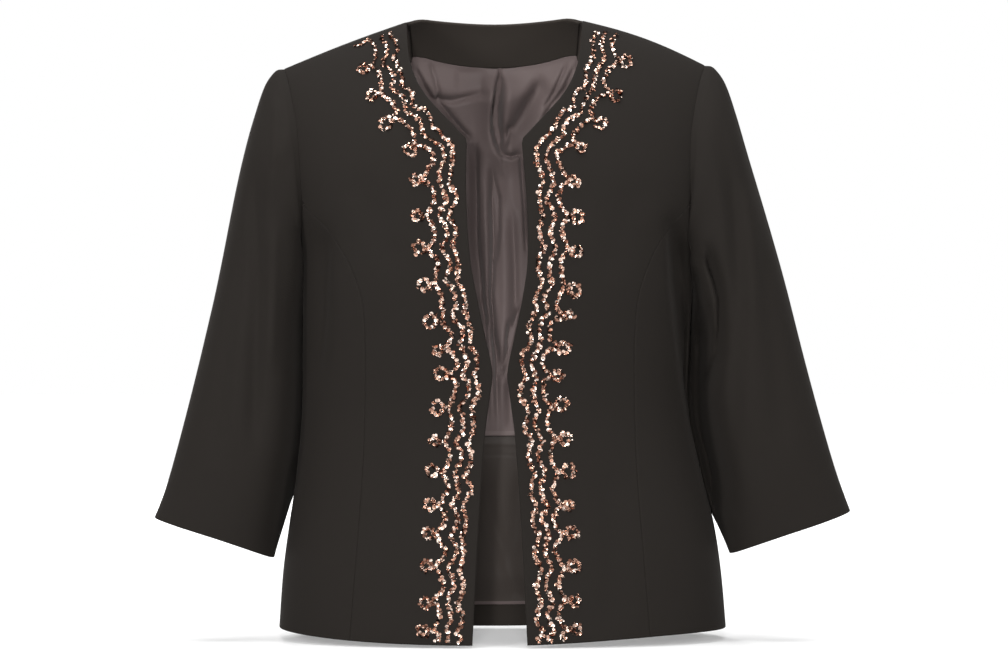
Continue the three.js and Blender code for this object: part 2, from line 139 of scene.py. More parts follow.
# How far the front of each sleeve's inner side draws back from the body, and how far its back
# tucks in behind it.
TUCKS = {
    "left": table(
        "s front back",
        (0, 0, 0), (0.1, -8, 0), (0.24, -11, 4), (0.3, -8, 8), (0.36, 0, 12), (0.44, 3, 18),
        (0.52, 4, 23), (0.66, 7, 25), (0.78, 7, 20), (0.88, 6, 9), (0.95, 5, 2), (1, 2, 0),
    ),
    "right": table(
        "s front back",
        (0, 0, 0), (0.1, -2, 0), (0.26, -4, 4), (0.4, -2, 16), (0.52, 0, 24), (0.66, 1, 26),
        (0.78, 2, 20), (0.86, 3, 9), (0.92, 3, 0), (1, 2, 0),
    ),
}
# How each sleeve hangs: its outer edge's shift to the body just below the shoulder and at the
# cuff, the drop of the cuff's outer, inner and back edge, how far it stands away above the cuff,
# and how far back and how sharply its inner side falls.
HANG = {
    "left": {
        "start": 0.5, "towards": 0.5, "outer": -6, "inner": -1,
        "behind": 6.5, "away": 0, "lag": 34, "sharp": 6,
    },
    "right": {
        "start": 2, "towards": 3.7, "outer": 4, "inner": 4,
        "behind": 4, "away": 3, "lag": 34, "sharp": 8,
    },
}

# Soft folds: where each one starts and ends across the cloth, how far it runs, how wide it is
# and how deep (a ridge is negative). Across is degrees round the body or sleeve.
BODY_FOLDS = table(
    "start end top bottom wide deep",
    (118, 113.2, -170, -380, 4, 5),
    (-116, -111.9, -160, -400, 4.5, 4.5),
    (150, 142.4, -300, -520, 6, 2.5),
    (-152, -144.4, -280, -500, 6, 2.5),
)
SLEEVE_FOLDS = {
    "left": table(
        "start end top bottom wide deep",
        (54, 123.6, 0.12, 0.93, 15, 3),
        (138, 109, 0.14, 0.6, 12, 2.4),
        (-96, -104, 0.12, 0.75, 12, 4),
    ),
    "right": table(
        "start end top bottom wide deep",
        (47, 105.8, 0.14, 0.9, 15, 3),
        (78, 79.4, 0.02, 0.26, 10, -1.5),
        (-90, -101, 0.14, 0.8, 12, 4),
    ),
}
# The lining's folds hang from the pleat at the centre back. Across is their x.
LINING_FOLDS = table(
    "start end top bottom wide deep",
    (-12, -13.3, -60, -420, 9, 5),
    (20, 6.9, -60, -330, 9, 5),
    (-38, -19.2, -50, -230, 9, 4),
    (54, 26, -50, -240, 10, 4),
    (4, 4, -30, -150, 20, 12),
)


def crease(deep, left, right, *line):
    """A fold along a line of (x, z), so deep, and so wide on the line's left and right side."""
    return {"deep": deep, "left": left, "right": right, "line": np.array(line, float)}


LINING_CREASES = (
    # the pleat: its left edge stands over a dark mouth that opens out to the right
    crease(5.0, 1.5, 1.5, (5.4, -36), (5.4, -44), (4.2, -52)),
    crease(
        36.0, 7.0, 2.4,
        (5.0, -40), (4.2, -47), (2.4, -56), (0.6, -66), (-0.9, -80), (-0.2, -95), (2.6, -110),
        (8, -124),
    ),
    crease(
        -3.0, 1.6, 7.0,
        (1, -42), (-3.5, -60), (-4.5, -79), (-5.5, -94), (-2, -109), (4.5, -127), (11, -150),
    ),
    crease(9.0, 4.5, 1.8, (2, -112), (5, -119), (10, -123), (17, -125), (28, -121)),
    crease(
        12.0, 9.0, 8.0,
        (54, -42), (45, -56), (38, -67), (31, -78), (23.5, -89), (16, -100), (10, -112),
    ),
    crease(5.0, 2.5, 2.5, (15, -88), (14.5, -96), (13, -106), (10, -116)),
    crease(6.5, 5.5, 1.6, (-66, -62), (-57, -66), (-45, -67), (-26, -62.5), (-10, -58), (0, -52)),
    crease(9.0, 3.6, 3.6, (-66, -58), (-58, -68), (-45, -84), (-32, -98), (-22, -108)),
    crease(5.0, 3.0, 1.6, (-66, -32), (-63, -42), (-61, -52), (-57, -70)),
    crease(6.0, 3.0, 3.0, (-84, -34), (-76, -48), (-66, -64), (-56, -76)),
    crease(7.0, 4.0, 2.2, (84, -32), (80, -40), (73, -55), (59, -71), (48, -88)),
    crease(5.0, 3.0, 2.0, (74, -32), (70, -42), (62, -58), (50, -76)),
    crease(3.0, 9.0, 9.0, (-44, -46), (-20, -48), (-6, -50)),
    # hanging folds below the neck
    crease(
        10.0, 2.2, 7.0,
        (-19, -96), (-19, -130), (-20, -170), (-21, -220), (-18, -262), (-14, -310), (-12, -404),
    ),
    crease(
        -3.5, 3.0, 3.0,
        (-9, -124), (-10.5, -142), (-12, -190), (-13.3, -271), (-9, -330), (-7, -404),
    ),
    crease(
        10.0, 3.0, 2.2,
        (-1, -130), (-4.5, -155), (-5.3, -210), (-9.2, -268), (-5, -320), (-2, -404),
    ),
    crease(6.5, 2.2, 4.0, (-6, -128), (-2, -146), (2, -168), (1, -200), (-4, -240)),
    crease(-2.5, 5.0, 5.0, (3, -160), (4.5, -200), (3.5, -250), (4, -310), (6, -400)),
    crease(7.5, 3.6, 1.8, (26, -112), (26.4, -126), (27, -150), (28, -176), (28, -230)),
    crease(7.0, 4.0, 5.5, (13, -160), (15.5, -190), (15.5, -230), (15, -290), (10, -350), (12, -404)),
    # where the folds cross and close in above the waist
    crease(9.0, 3.0, 4.0, (-22, -262), (-12, -296), (-2, -326), (2, -352)),
    crease(11.0, 4.0, 3.0, (24, -268), (13, -300), (6, -326), (-1, -356)),
    crease(10.0, 2.4, 2.4, (10, -292), (8, -306), (7, -318)),
    crease(3.0, 5.0, 5.0, (6, -352), (10, -380), (12, -404)),
)
FRONT_CREASES = (
    # the drape below the wearer's left underarm, and the softer one below the right
    crease(
        27.0, 13.0, 4.5,
        (160, -180), (164, -204), (167.5, -253), (173, -301), (180, -349), (188, -388),
        (198, -420),
    ),
    crease(8.0, 6.0, 6.0, (171, -196), (176, -240), (180, -290), (184, -330)),
    crease(7.0, 8.0, 10.0, (-168, -190), (-170, -234), (-170, -285), (-173, -325), (-178, -360)),
    crease(3.0, 4.0, 4.0, (-164, -200), (-165, -240), (-168, -290), (-172, -330)),
    # faint drags over the bust and towards the hem
    crease(1.6, 14.0, 14.0, (-150, -150), (-118, -190), (-96, -250)),
    crease(1.4, 16.0, 16.0, (146, -150), (116, -196), (100, -260)),
    crease(1.4, 12.0, 16.0, (-100, -400), (-106, -480), (-110, -590)),
    crease(1.4, 16.0, 12.0, (104, -420), (108, -500), (106, -596)),
)
BACK_CREASES = (
    crease(4.5, 9.0, 7.0, (150, -170), (146, -230), (139, -300), (137, -360)),
    crease(4.0, 7.0, 9.0, (-154, -176), (-150, -240), (-146, -305), (-139, -380)),
    crease(2.4, 12.0, 10.0, (60, -300), (66, -370), (82, -450), (94, -560)),
    crease(2.4, 10.0, 12.0, (-52, -280), (-63, -360), (-80, -450), (-90, -550)),
    crease(1.6, 10.0, 10.0, (118, -96), (80, -130), (36, -150)),
    crease(1.6, 10.0, 10.0, (-120, -100), (-84, -136), (-40, -158)),
    crease(1.4, 9.0, 14.0, (96, -345), (30, -362), (-20, -358)),
    crease(1.2, 14.0, 9.0, (-110, -335), (-50, -350), (10, -346)),
)
SLEEVE_CREASES = {
    "left": (
        # the bulge beside the drape, and the hollow under it
        crease(
            12.0, 8.0, 2.6,
            (198, -212), (201, -236), (207, -254), (211, -272), (212, -300), (210, -325),
            (204, -348), (197, -364),
        ),
        crease(
            50.0, 13.0, 12.0,
            (192, -268), (194, -304), (194, -340), (195, -372), (199, -405), (207, -445),
            (215, -490),
        ),
        crease(6.0, 2.5, 2.5, (189, -240), (192, -262), (195, -278), (192, -294), (190, -312)),
        crease(
            4.0, 9.0, 9.0,
            (206, -90), (218, -146), (227, -194), (231, -260), (229, -330), (224, -440),
        ),
        crease(-2.0, 8.0, 8.0, (238, -150), (244, -220), (245, -300)),
        crease(2.5, 10.0, 10.0, (252, -190), (258, -270), (266, -360), (276, -430)),
    ),
    "right": (
        crease(-2.0, 5.0, 5.0, (-216, -74), (-218, -148)),
        crease(4.5, 8.0, 8.0, (-230, -120), (-232, -190), (-232, -262), (-235, -330), (-238, -440)),
        crease(2.5, 9.0, 9.0, (-248, -180), (-256, -270), (-266, -360), (-278, -440)),
        crease(-2.5, 6.0, 6.0, (-216, -190), (-218, -270), (-221, -350)),
    ),
}
SLEEVE_BACK_CREASES = {
    "left": (
        crease(3.4, 7.0, 9.0, (214, -150), (222, -220), (232, -300), (246, -390)),
        crease(2.6, 6.0, 6.0, (206, -300), (238, -318), (272, -312)),
        crease(2.0, 6.0, 6.0, (204, -330), (232, -346), (262, -342)),
    ),
    "right": (
        crease(3.2, 9.0, 7.0, (-212, -140), (-221, -214), (-230, -290), (-247, -380)),
        crease(2.6, 6.0, 6.0, (-206, -292), (-236, -312), (-270, -304)),
        crease(1.8, 6.0, 6.0, (-208, -326), (-234, -338), (-262, -336)),
    ),
}
LOWER_LINING_CREASES = (
    crease(0.9, 1.6, 1.6, (-40, -420), (0, -418), (40, -421)),
    crease(0.7, 1.6, 1.6, (-40, -426), (0, -424.5), (40, -427)),
    crease(2.4, 9.0, 7.0, (-14, -430), (-12, -480), (2, -520), (14, -560), (22, -590)),
    crease(1.8, 8.0, 8.0, (20, -440), (17, -500), (8, -545)),
)


# ---------------------------------------------------------------- the drafted surfaces


def smooth(t):
    """From 0 to 1, easing at both ends."""
    t = np.clip(t, 0, 1)
    return t * t * (3 - 2 * t)


def mix(a, b, share):
    return a + (b - a) * share


def curve(rows, column, place, along="z"):
    """The value of one column of a table at places along it, on a smooth curve."""
    x, y = rows[along], rows[column]
    last = len(x) - 1
    before, after = np.maximum(np.arange(last + 1) - 1, 0), np.minimum(np.arange(last + 1) + 1, last)
    slope = (y[after] - y[before]) / (x[after] - x[before])
    i = np.minimum(np.searchsorted(x[1:], place), last - 1)
    span = x[i + 1] - x[i]
    t = np.clip((place - x[i]) / span, 0, 1)
    return (
        (2 * t**3 - 3 * t**2 + 1) * y[i]
        + (t**3 - 2 * t**2 + t) * span * slope[i]
        + (3 * t**2 - 2 * t**3) * y[i + 1]
        + (t**3 - t**2) * span * slope[i + 1]
    )


def fold_depth(folds, across, along, reach):
    """How deep the folds are at each place: soft across, and fading out at both ends."""
    total = np.zeros(np.broadcast(across, along).shape)
    for start, end, top, bottom, wide, deep in zip(*folds.values()):
        run = (along - top) / (bottom - top)
        off = (across - mix(start, end, run)) / wide
        total += deep * np.exp(-off * off) * smooth(run / reach) * smooth((1 - run) / reach)
    return total


def shoulder_height(x):
    """Height where the body would close over x: the shoulder seam, and a dome over the neck."""
    slope = SHOULDER_DROP / (SHOULDER_HALF - NECK_HALF)
    dome = 1.1 * slope * NECK_HALF * (1 - (x / NECK_HALF) ** 2)
    return np.where(np.abs(x) > NECK_HALF, (NECK_HALF - np.abs(x)) * slope, dome)


def half_width(side, z):
    return np.where(side < 0, curve(SECTIONS, "right", z), curve(SECTIONS, "left", z))


def body_point(angle, z):
    """A point of the body: angle 0 is the centre front, a right angle the wearer's left side."""
    angle, z = np.broadcast_arrays(angle, np.asarray(z, float))
    sine, cosine = np.sin(angle), np.cos(angle)
    depth = np.where(cosine > 0, curve(SECTIONS, "front", z), curve(SECTIONS, "back", z))
    power = 2 / SQUARENESS
    x = np.sign(sine) * half_width(sine, z) * np.abs(sine) ** power
    below = np.maximum(0, shoulder_height(x) - z)
    roll = np.sqrt(1 - (1 - np.minimum(1, below / SHOULDER_ROLL)) ** 2)
    return np.stack([x, -np.sign(cosine) * depth * np.abs(cosine) ** power * roll, z], -1)


def angle_at(x, z, on_back=False):
    angle = np.arcsin(np.minimum(1, np.abs(x) / half_width(x, z)) ** (SQUARENESS / 2))
    return np.where(x < 0, -1, 1) * np.where(on_back, np.pi - angle, angle)


def body_skin(angle, z, offset=0.0):
    """The body's surface moved out by an offset, with the folds in it."""
    turn, drop = 0.002, 0.05
    point = body_point(angle, z)
    across = body_point(angle + turn, z) - body_point(angle - turn, z)
    down = body_point(angle, z - drop) - point
    normal = np.cross(down, across)
    normal /= np.linalg.norm(normal, axis=-1, keepdims=True)
    depth = fold_depth(BODY_FOLDS, np.degrees((angle + np.pi) % (2 * np.pi) - np.pi), z, BODY_FADE)
    return point + normal * (offset - depth)[..., None]


def settle(points):
    """The garment leans a little, one shoulder sits higher and both bow up, and the hem lifts."""
    x, y, z = np.moveaxis(points, -1, 0)
    wide = np.abs(x)
    upper = smooth((z + 150) / 110)
    on_shoulder = np.clip((wide - NECK_HALF) / (SHOULDER_HALF - NECK_HALF), 0, 1)
    bow = np.where(x > 0, BOW_LEFT, BOW_RIGHT) * np.sin(np.pi * on_shoulder)
    hem_curve = np.where(x > 0, smooth(wide / HEM_HALF), (wide / HEM_HALF) ** 2.6)
    lift = upper * (bow + LEFT_SHOULDER_UP * smooth(x / SHOULDER_HALF))
    lift += HEM_LIFT * hem_curve * smooth((-450 - z) / 150)
    return np.stack([x - LEAN * smooth((z + 280) / 180), y, z + lift], -1)


def crease_depth(creases, points):
    """How deep a list of creases is at each point; a ridge is negative."""
    place = points[..., [0, 2]]
    total = np.zeros(place.shape[:-1])
    for fold in creases:
        line = fold["line"]
        steps = np.diff(line, axis=0)
        lengths = np.linalg.norm(steps, axis=1)
        nearest = np.full(total.shape, np.inf)
        off, along = np.zeros(total.shape), np.zeros(total.shape)
        for start, step, length, before in zip(line, steps, lengths, np.cumsum(lengths) - lengths):
            share = np.clip(((place - start) @ step) / length**2, 0, 1)
            away = place - start - share[..., None] * step
            distance = np.linalg.norm(away, axis=-1)
            closer = distance < nearest
            side = np.sign(away[..., 0] * -step[1] + away[..., 1] * step[0])
            nearest = np.where(closer, distance, nearest)
            off = np.where(closer, side * distance, off)
            along = np.where(closer, before + share * length, along)
        run = along / lengths.sum()
        fade = smooth(run / CREASE_FADE) * smooth((1 - run) / CREASE_FADE)
        wide = np.where(off > 0, fold["left"], fold["right"])
        total += fade * fold["deep"] * np.exp(-((off / wide) ** 2))
    return total


def pressed(grid, front=(), back=(), closed=False):
    """A grid of points with creases pressed in from the front and from the back."""
    facing = grid_normals(grid, closed)[..., 1]
    depth = crease_depth(front, grid) * smooth(-3 * facing)
    depth -= crease_depth(back, grid) * smooth(3 * facing)
    return grid + depth[..., None] * np.array([0, 1, 0])


def armhole_height(step):
    middle = (ARMHOLE_BOTTOM - SHOULDER_DROP) / 2
    return middle + (-SHOULDER_DROP - middle) * np.cos(np.pi * step / ARM_STEPS)


def armhole_angle(step, side, on_back):
    z = armhole_height(step)
    x = np.where(on_back, curve(ARMHOLE, "back", z), curve(ARMHOLE, "front", z))
    return np.where(step >= ARM_STEPS, side * np.pi / 2, angle_at(side * x, z, on_back))


def graded(length, step, fine=(0, 0.25, 0.7, 1.4, 2.6, 4.5)):
    """Places from 0 to 1 along a length, close together at both ends where cloth rolls over."""
    end = np.array(fine[:-1])
    count = max(2, round((length - 2 * fine[-1]) / step) + 1)
    middle = np.linspace(fine[-1], length - fine[-1], count)
    return np.concatenate([end, middle, length - end[::-1]]) / length


def front_skin(side, x, z):
    points = body_skin(angle_at(side * x, z), z)
    points[..., 1] -= SEAM / 2
    return settle(points)


def centre_front(side):
    """From the front edge and neckline to the princess seam and armhole."""
    upper_run, across_run, spacing, ends = 190, 120, 4.0, 5
    princess_top = armhole_height(PRINCESS_STEP)
    low_z = mix(HEM, princess_top, graded(princess_top - HEM, spacing)[:-ends])
    step = PRINCESS_STEP * (1 - graded(upper_run, spacing)[ends:])
    out_z = armhole_height(step)
    break_z = armhole_height(BREAK_STEP)
    rise = np.clip((out_z - break_z) / (-SHOULDER_DROP - break_z), 0, 1)
    below = step > BREAK_STEP
    to_break = (PRINCESS_STEP - step) / (PRINCESS_STEP - BREAK_STEP)
    in_z = np.where(below, mix(princess_top, NECK_BREAK, to_break), mix(NECK_BREAK, 0, rise))
    in_x = np.where(below, curve(FRONT_EDGE, "x", in_z), curve(NECKLINE, "x", in_z))
    in_z, out_z = np.concatenate([low_z, in_z]), np.concatenate([low_z, out_z])
    in_x = np.concatenate([curve(FRONT_EDGE, "x", low_z), in_x])
    out_x = np.concatenate(
        [curve(PRINCESS, "x", low_z) - SEAM / 2, curve(ARMHOLE, "front", armhole_height(step))]
    )
    share = graded(across_run, spacing)[None, :]
    x, z = mix(in_x[:, None], out_x[:, None], share), mix(in_z[:, None], out_z[:, None], share)
    return pressed(front_skin(side, x, z), FRONT_CREASES)


def side_front(side):
    """From the princess seam round to the side seam, up to the lower armhole."""
    top_steps = ARM_STEPS - PRINCESS_STEP
    share, up = graded(95, 1.6)[None, :], graded(400, 3.2)[:, None]
    princess_top = armhole_height(PRINCESS_STEP)
    in_z, out_z = mix(HEM, princess_top, up), mix(HEM, ARMHOLE_BOTTOM, up)
    in_angle = angle_at(side * (curve(PRINCESS, "x", in_z) + SEAM / 2), in_z)
    step = PRINCESS_STEP + top_steps * share
    near_top = up**4
    z = mix(in_z, out_z, share) + near_top * (
        armhole_height(step) - mix(princess_top, ARMHOLE_BOTTOM, share)
    )
    top_angle = angle_at(side * (curve(PRINCESS, "x", princess_top) + SEAM / 2), princess_top)
    on_edge = mix(top_angle, armhole_angle(step, side, False), smooth(share * 5))
    angle = mix(in_angle, side * np.pi / 2, share) + near_top * (
        on_edge - mix(top_angle, side * np.pi / 2, share)
    )
    points = body_skin(angle, z)
    points[..., 1] -= SEAM / 2
    return pressed(settle(points), FRONT_CREASES)


# Across the back every column lies at a share of the half-width.
HALF_COLUMNS = (0, 8, 15, 20.5, 29, 38, 47, 56, 64, 72, 80, 90)
CENTRE_BACK = len(HALF_COLUMNS) - 1
NECK_COLUMN = 3
BACK_LOW_ROWS = 12
BACK_ROWS = BACK_LOW_ROWS + ARM_STEPS
FACING_DEPTH = 4.52  # rows from the neck down to the facing's lower edge


def back_point(column, row, offset=0.0):
    """The back's surface at a column from the wearer's left, and a row from the hem."""
    column, row, offset = np.broadcast_arrays(column, row, np.asarray(offset, float))

    def share_of(k):
        turn = np.radians(np.interp(k, range(len(HALF_COLUMNS)), HALF_COLUMNS))
        return np.sin(turn) ** (2 / SQUARENESS)

    side = np.where(column > CENTRE_BACK, -1, 1)
    share, neck = share_of(np.abs(column - CENTRE_BACK)), share_of(NECK_COLUMN)
    low_z = mix(HEM, ARMHOLE_BOTTOM, row / BACK_LOW_ROWS)
    low_x = share * half_width(side, low_z)
    out_z = armhole_height(BACK_ROWS - row)
    rise = (out_z - ARMHOLE_BOTTOM) / (-SHOULDER_DROP - ARMHOLE_BOTTOM)
    on_shoulder = np.maximum(0, (share - neck) / (1 - neck))
    to_centre = (neck - share) / neck
    early = np.clip(4.5 * to_centre, 0, 1)
    neck_top = BACK_NECK_RISE * early * (2 - early) - BACK_NECK_DIP * smooth(to_centre)
    top = np.where(on_shoulder > 0, -SHOULDER_DROP * on_shoulder, neck_top)
    low = row <= BACK_LOW_ROWS
    z = np.where(low, low_z, mix(ARMHOLE_BOTTOM, top, rise))
    x = np.where(low, low_x, share * curve(ARMHOLE, "back", out_z))
    points = body_skin(angle_at(side * x, z, True), z, offset)
    # along the shoulder seam it lies flat against the front
    sewn = (row > BACK_ROWS - 0.01) & (share > neck - 0.003) & (offset == 0)
    points[..., 1] = np.where(sewn, 0, points[..., 1]) + SEAM / 2
    return points


def finer(stops, parts):
    """Every step between the stops divided into equal parts."""
    return np.interp(np.arange((len(stops) - 1) * parts + 1) / parts, range(len(stops)), stops)


def back():
    edge = np.array([0, 0.012, 0.035, 0.07, 0.13])
    columns = finer(np.arange(2 * CENTRE_BACK + 1), 5)
    columns = np.unique(np.concatenate([edge, columns, 2 * CENTRE_BACK - edge]))
    low_rows = finer(np.arange(BACK_LOW_ROWS + 1), 7)
    upper_rows = BACK_LOW_ROWS + finer(np.arange(ARM_STEPS + 1), 4)[1:]
    rows = np.unique(np.concatenate([edge * 0.6, low_rows, upper_rows, BACK_ROWS - 4 * edge]))
    return pressed(settle(back_point(columns[None, :], rows[:, None])), back=BACK_CREASES)


def seam_row(across):
    """The row where the back neck's facing meets the lining: lowest at the centre back."""
    return BACK_ROWS - FACING_DEPTH + 0.75 * across * across


def neck_facing():
    across = np.linspace(-1, 1, 73)[None, :]
    up = graded(60, 2.5)[:, None]
    row = mix(seam_row(across), BACK_ROWS, up)
    to_top = smooth((up - 0.9) / 0.1)
    offset = -INSIDE - 0.4 * (1 - to_top) + 0.8 * to_top
    return settle(back_point(CENTRE_BACK + across * (NECK_COLUMN - 0.03), row, offset))


def level(z):
    """A lining's straight edge: the back's row at one height, all the way across."""
    row = BACK_LOW_ROWS * (z - HEM) / (ARMHOLE_BOTTOM - HEM)
    return lambda across: row + 0 * across


UPPER_EASE, LOWER_EASE, LEAST_EASE = 13, 5, 0.3


def lining(bottom, top, ease, rows, creases):
    """Lining across the inside of the back, with close-set columns where the opening shows it.

    Its bottom and top are the back's rows, and its ease is how far it stands off the shell.
    """
    steps = np.concatenate([np.arange(1, 8, 0.5), np.arange(8, 10, 0.08), np.arange(10, 11.001, 0.025)])
    places = np.concatenate([steps, 2 * CENTRE_BACK - steps[-2::-1]])[None, :]
    across = (places - CENTRE_BACK) / CENTRE_BACK
    up = graded(1000, 1000 / rows, fine=(0, 0.7, 2, 4))[:, None]
    row = mix(bottom(across), top(across), up)
    flat = back_point(places, row)
    hanging = fold_depth(LINING_FOLDS, flat[..., 0], flat[..., 2], LINING_FADE)
    stand = ease(across, up) + np.maximum(0, hanging) - crease_depth(creases, flat)
    return settle(back_point(places, row, -INSIDE - np.maximum(stand, 0.2)))


def upper_lining():
    neck_share = NECK_COLUMN / CENTRE_BACK

    def top(across):
        inside_neck = np.abs(across) < neck_share
        return np.where(inside_neck, seam_row(across / neck_share) - 0.01, BACK_ROWS - 4.1)

    def ease(across, up):
        to_sides, near_hem = smooth((1 - np.abs(across)) * 4), mix(0.4, 1, smooth(up * 6))
        return LEAST_EASE + UPPER_EASE * near_hem * to_sides * smooth((1 - up) * 13)

    return lining(level(LINING_HEM), top, ease, 215, LINING_CREASES)


def lower_lining():
    def ease(across, up):
        to_sides, to_ends = smooth((1 - np.abs(across)) * 5), smooth(up * 6) * smooth((1 - up) * 8)
        return LEAST_EASE + LOWER_EASE * to_sides * to_ends

    return lining(level(LINING_FLOOR), level(LINING_HEM + LINING_LAP), ease, 70, LOWER_LINING_CREASES)


def armhole_point(turn, clearance):
    """The sleeve's first edge: on the armhole, and soon just clear of the body's wall."""
    step = ARM_STEPS * np.arccos(np.cos(turn)) / np.pi
    angle, z = armhole_angle(step, 1, np.sin(turn) < 0), armhole_height(step)
    lift = clearance * mix(*ARMHOLE_GAP, smooth((step / ARM_STEPS - 0.35) / 0.65))
    point = body_skin(angle, z, lift) - body_skin(angle, z) + body_point(angle, z)
    point[..., 0] += clearance * (1.1 + 0.6 * np.sin(turn) ** 2) - 0.5
    return point


SLEEVE_COLUMNS = 168
CUFF_ZONE = 0.82  # where the sleeve begins to stand away and drop towards the cuff
BOXED = 0.9  # how square the sleeve's section is below the cap
CLEAR_OF_BODY = 1.95


def sleeve(side):
    name = "left" if side > 0 else "right"
    hang = HANG[name]
    turn = np.linspace(0, 2 * np.pi, SLEEVE_COLUMNS, endpoint=False)[None, :]
    s = graded(600, 3.2)[:, None] ** 1.12

    def ring(place):
        share = (1 + np.cos(turn)) / 2
        value = {column: curve(RINGS, column, place, "s") for column in RINGS}
        last = np.clip((place - CUFF_ZONE) / (1 - CUFF_ZONE), 0, 1)
        away = value["clear"] + 4 * hang["away"] * last * (1 - last)
        inner = half_width(side, value["in_z"]) + away
        shift = share * (hang["start"] * smooth(place / 0.2) + hang["towards"] * place**2)
        on_back = np.maximum(0, -np.sin(turn))
        drop = mix(hang["inner"], hang["outer"], share) * place**2
        drop = drop + hang["behind"] * on_back * smooth((place - 0.84) / 0.16)
        corner = 2 * np.abs(np.sin(turn) * np.minimum(0, np.cos(turn)))
        draws_back, tucks_in = (curve(TUCKS[name], edge, place, "s") for edge in ("front", "back"))
        tuck = corner * np.where(np.sin(turn) > 0, draws_back, -tucks_in)
        lag = hang["lag"] * smooth((place - 0.34) / 0.2) * smooth((1.02 - place) / 0.14)
        square = BOXED * smooth((place - 0.06) / 0.2) * smooth((1.1 - place) / 0.2)
        across = share - square * (share - share**1.6) * (1 - share)
        return np.stack(
            np.broadcast_arrays(
                mix(inner, value["out_x"], across) - shift + tuck,
                -value["deep"] * np.sin(turn) - value["forward"] + lag * (1 - share) ** hang["sharp"],
                mix(value["in_z"], value["out_z"], share) - drop,
            ),
            -1,
        )

    fade = 1 - smooth(s / CAP_END)
    start = armhole_point(turn, smooth(s / 0.025))
    points = ring(s) + (start - ring(np.zeros((1, 1)))) * fade[..., None]
    x, y, z = np.moveaxis(points, -1, 0)
    depth = np.where(y < 0, curve(SECTIONS, "front", z), curve(SECTIONS, "back", z))
    share = np.minimum(1, np.abs(y) / depth)
    reach = half_width(side, z) * (1 - share**SQUARENESS) ** (1 / SQUARENESS)
    below = smooth((ARMHOLE_BOTTOM + 8 - z) / 26)
    points[..., 0] = mix(x, np.maximum(x, reach + CLEAR_OF_BODY), below)
    normal = grid_normals(points, closed=True)
    signed = np.degrees(np.where(turn > np.pi, turn - 2 * np.pi, turn))
    points = points - normal * fold_depth(SLEEVE_FOLDS[name], signed, s, SLEEVE_FADE)[..., None]
    points[..., 0] *= side
    flat = settle(points)
    creased = pressed(flat, SLEEVE_CREASES[name], SLEEVE_BACK_CREASES[name], closed=True)
    # no crease goes through the layer behind it, nor into the part tucked behind the body
    behind = np.roll(flat[:, ::-1, 1], 1, axis=1)
    deepest = np.maximum(flat[..., 1], behind - 5)
    free = smooth(((1 + np.cos(turn)) / 2 - 0.04) / 0.25)
    on_back = mix(flat[..., 1], np.minimum(flat[..., 1], creased[..., 1]), free)
    creased[..., 1] = np.where(np.sin(turn) > 0, np.minimum(creased[..., 1], deepest), on_back)
    return creased


# ---------------------------------------------------------------- cloth walls


def grid_normals(grid, closed=False):
    """Outward unit normals of a grid of points, away from the garment's or the tube's middle."""
    across = np.roll(grid, -1, 1) - np.roll(grid, 1, 1) if closed else np.gradient(grid, axis=1)
    normal = np.cross(across, np.gradient(grid, axis=0))
    normal /= np.maximum(np.linalg.norm(normal, axis=-1, keepdims=True), 1e-9)
    middle = grid.mean(axis=1, keepdims=True) if closed else grid * (0, 0, 1)
    return normal * np.sign(((grid - middle) * normal).sum())


def arc_lengths(grid, axis):
    steps = np.linalg.norm(np.diff(grid, axis=axis), axis=-1)
    start = np.zeros_like(np.take(steps, [0], axis))
    return np.cumsum(np.concatenate([start, steps], axis), axis)


def add_object(name, data):
    """A new object in the scene, at the origin."""
    made = bpy.data.objects.new(name, data)
    bpy.context.scene.collection.objects.link(made)
    return made


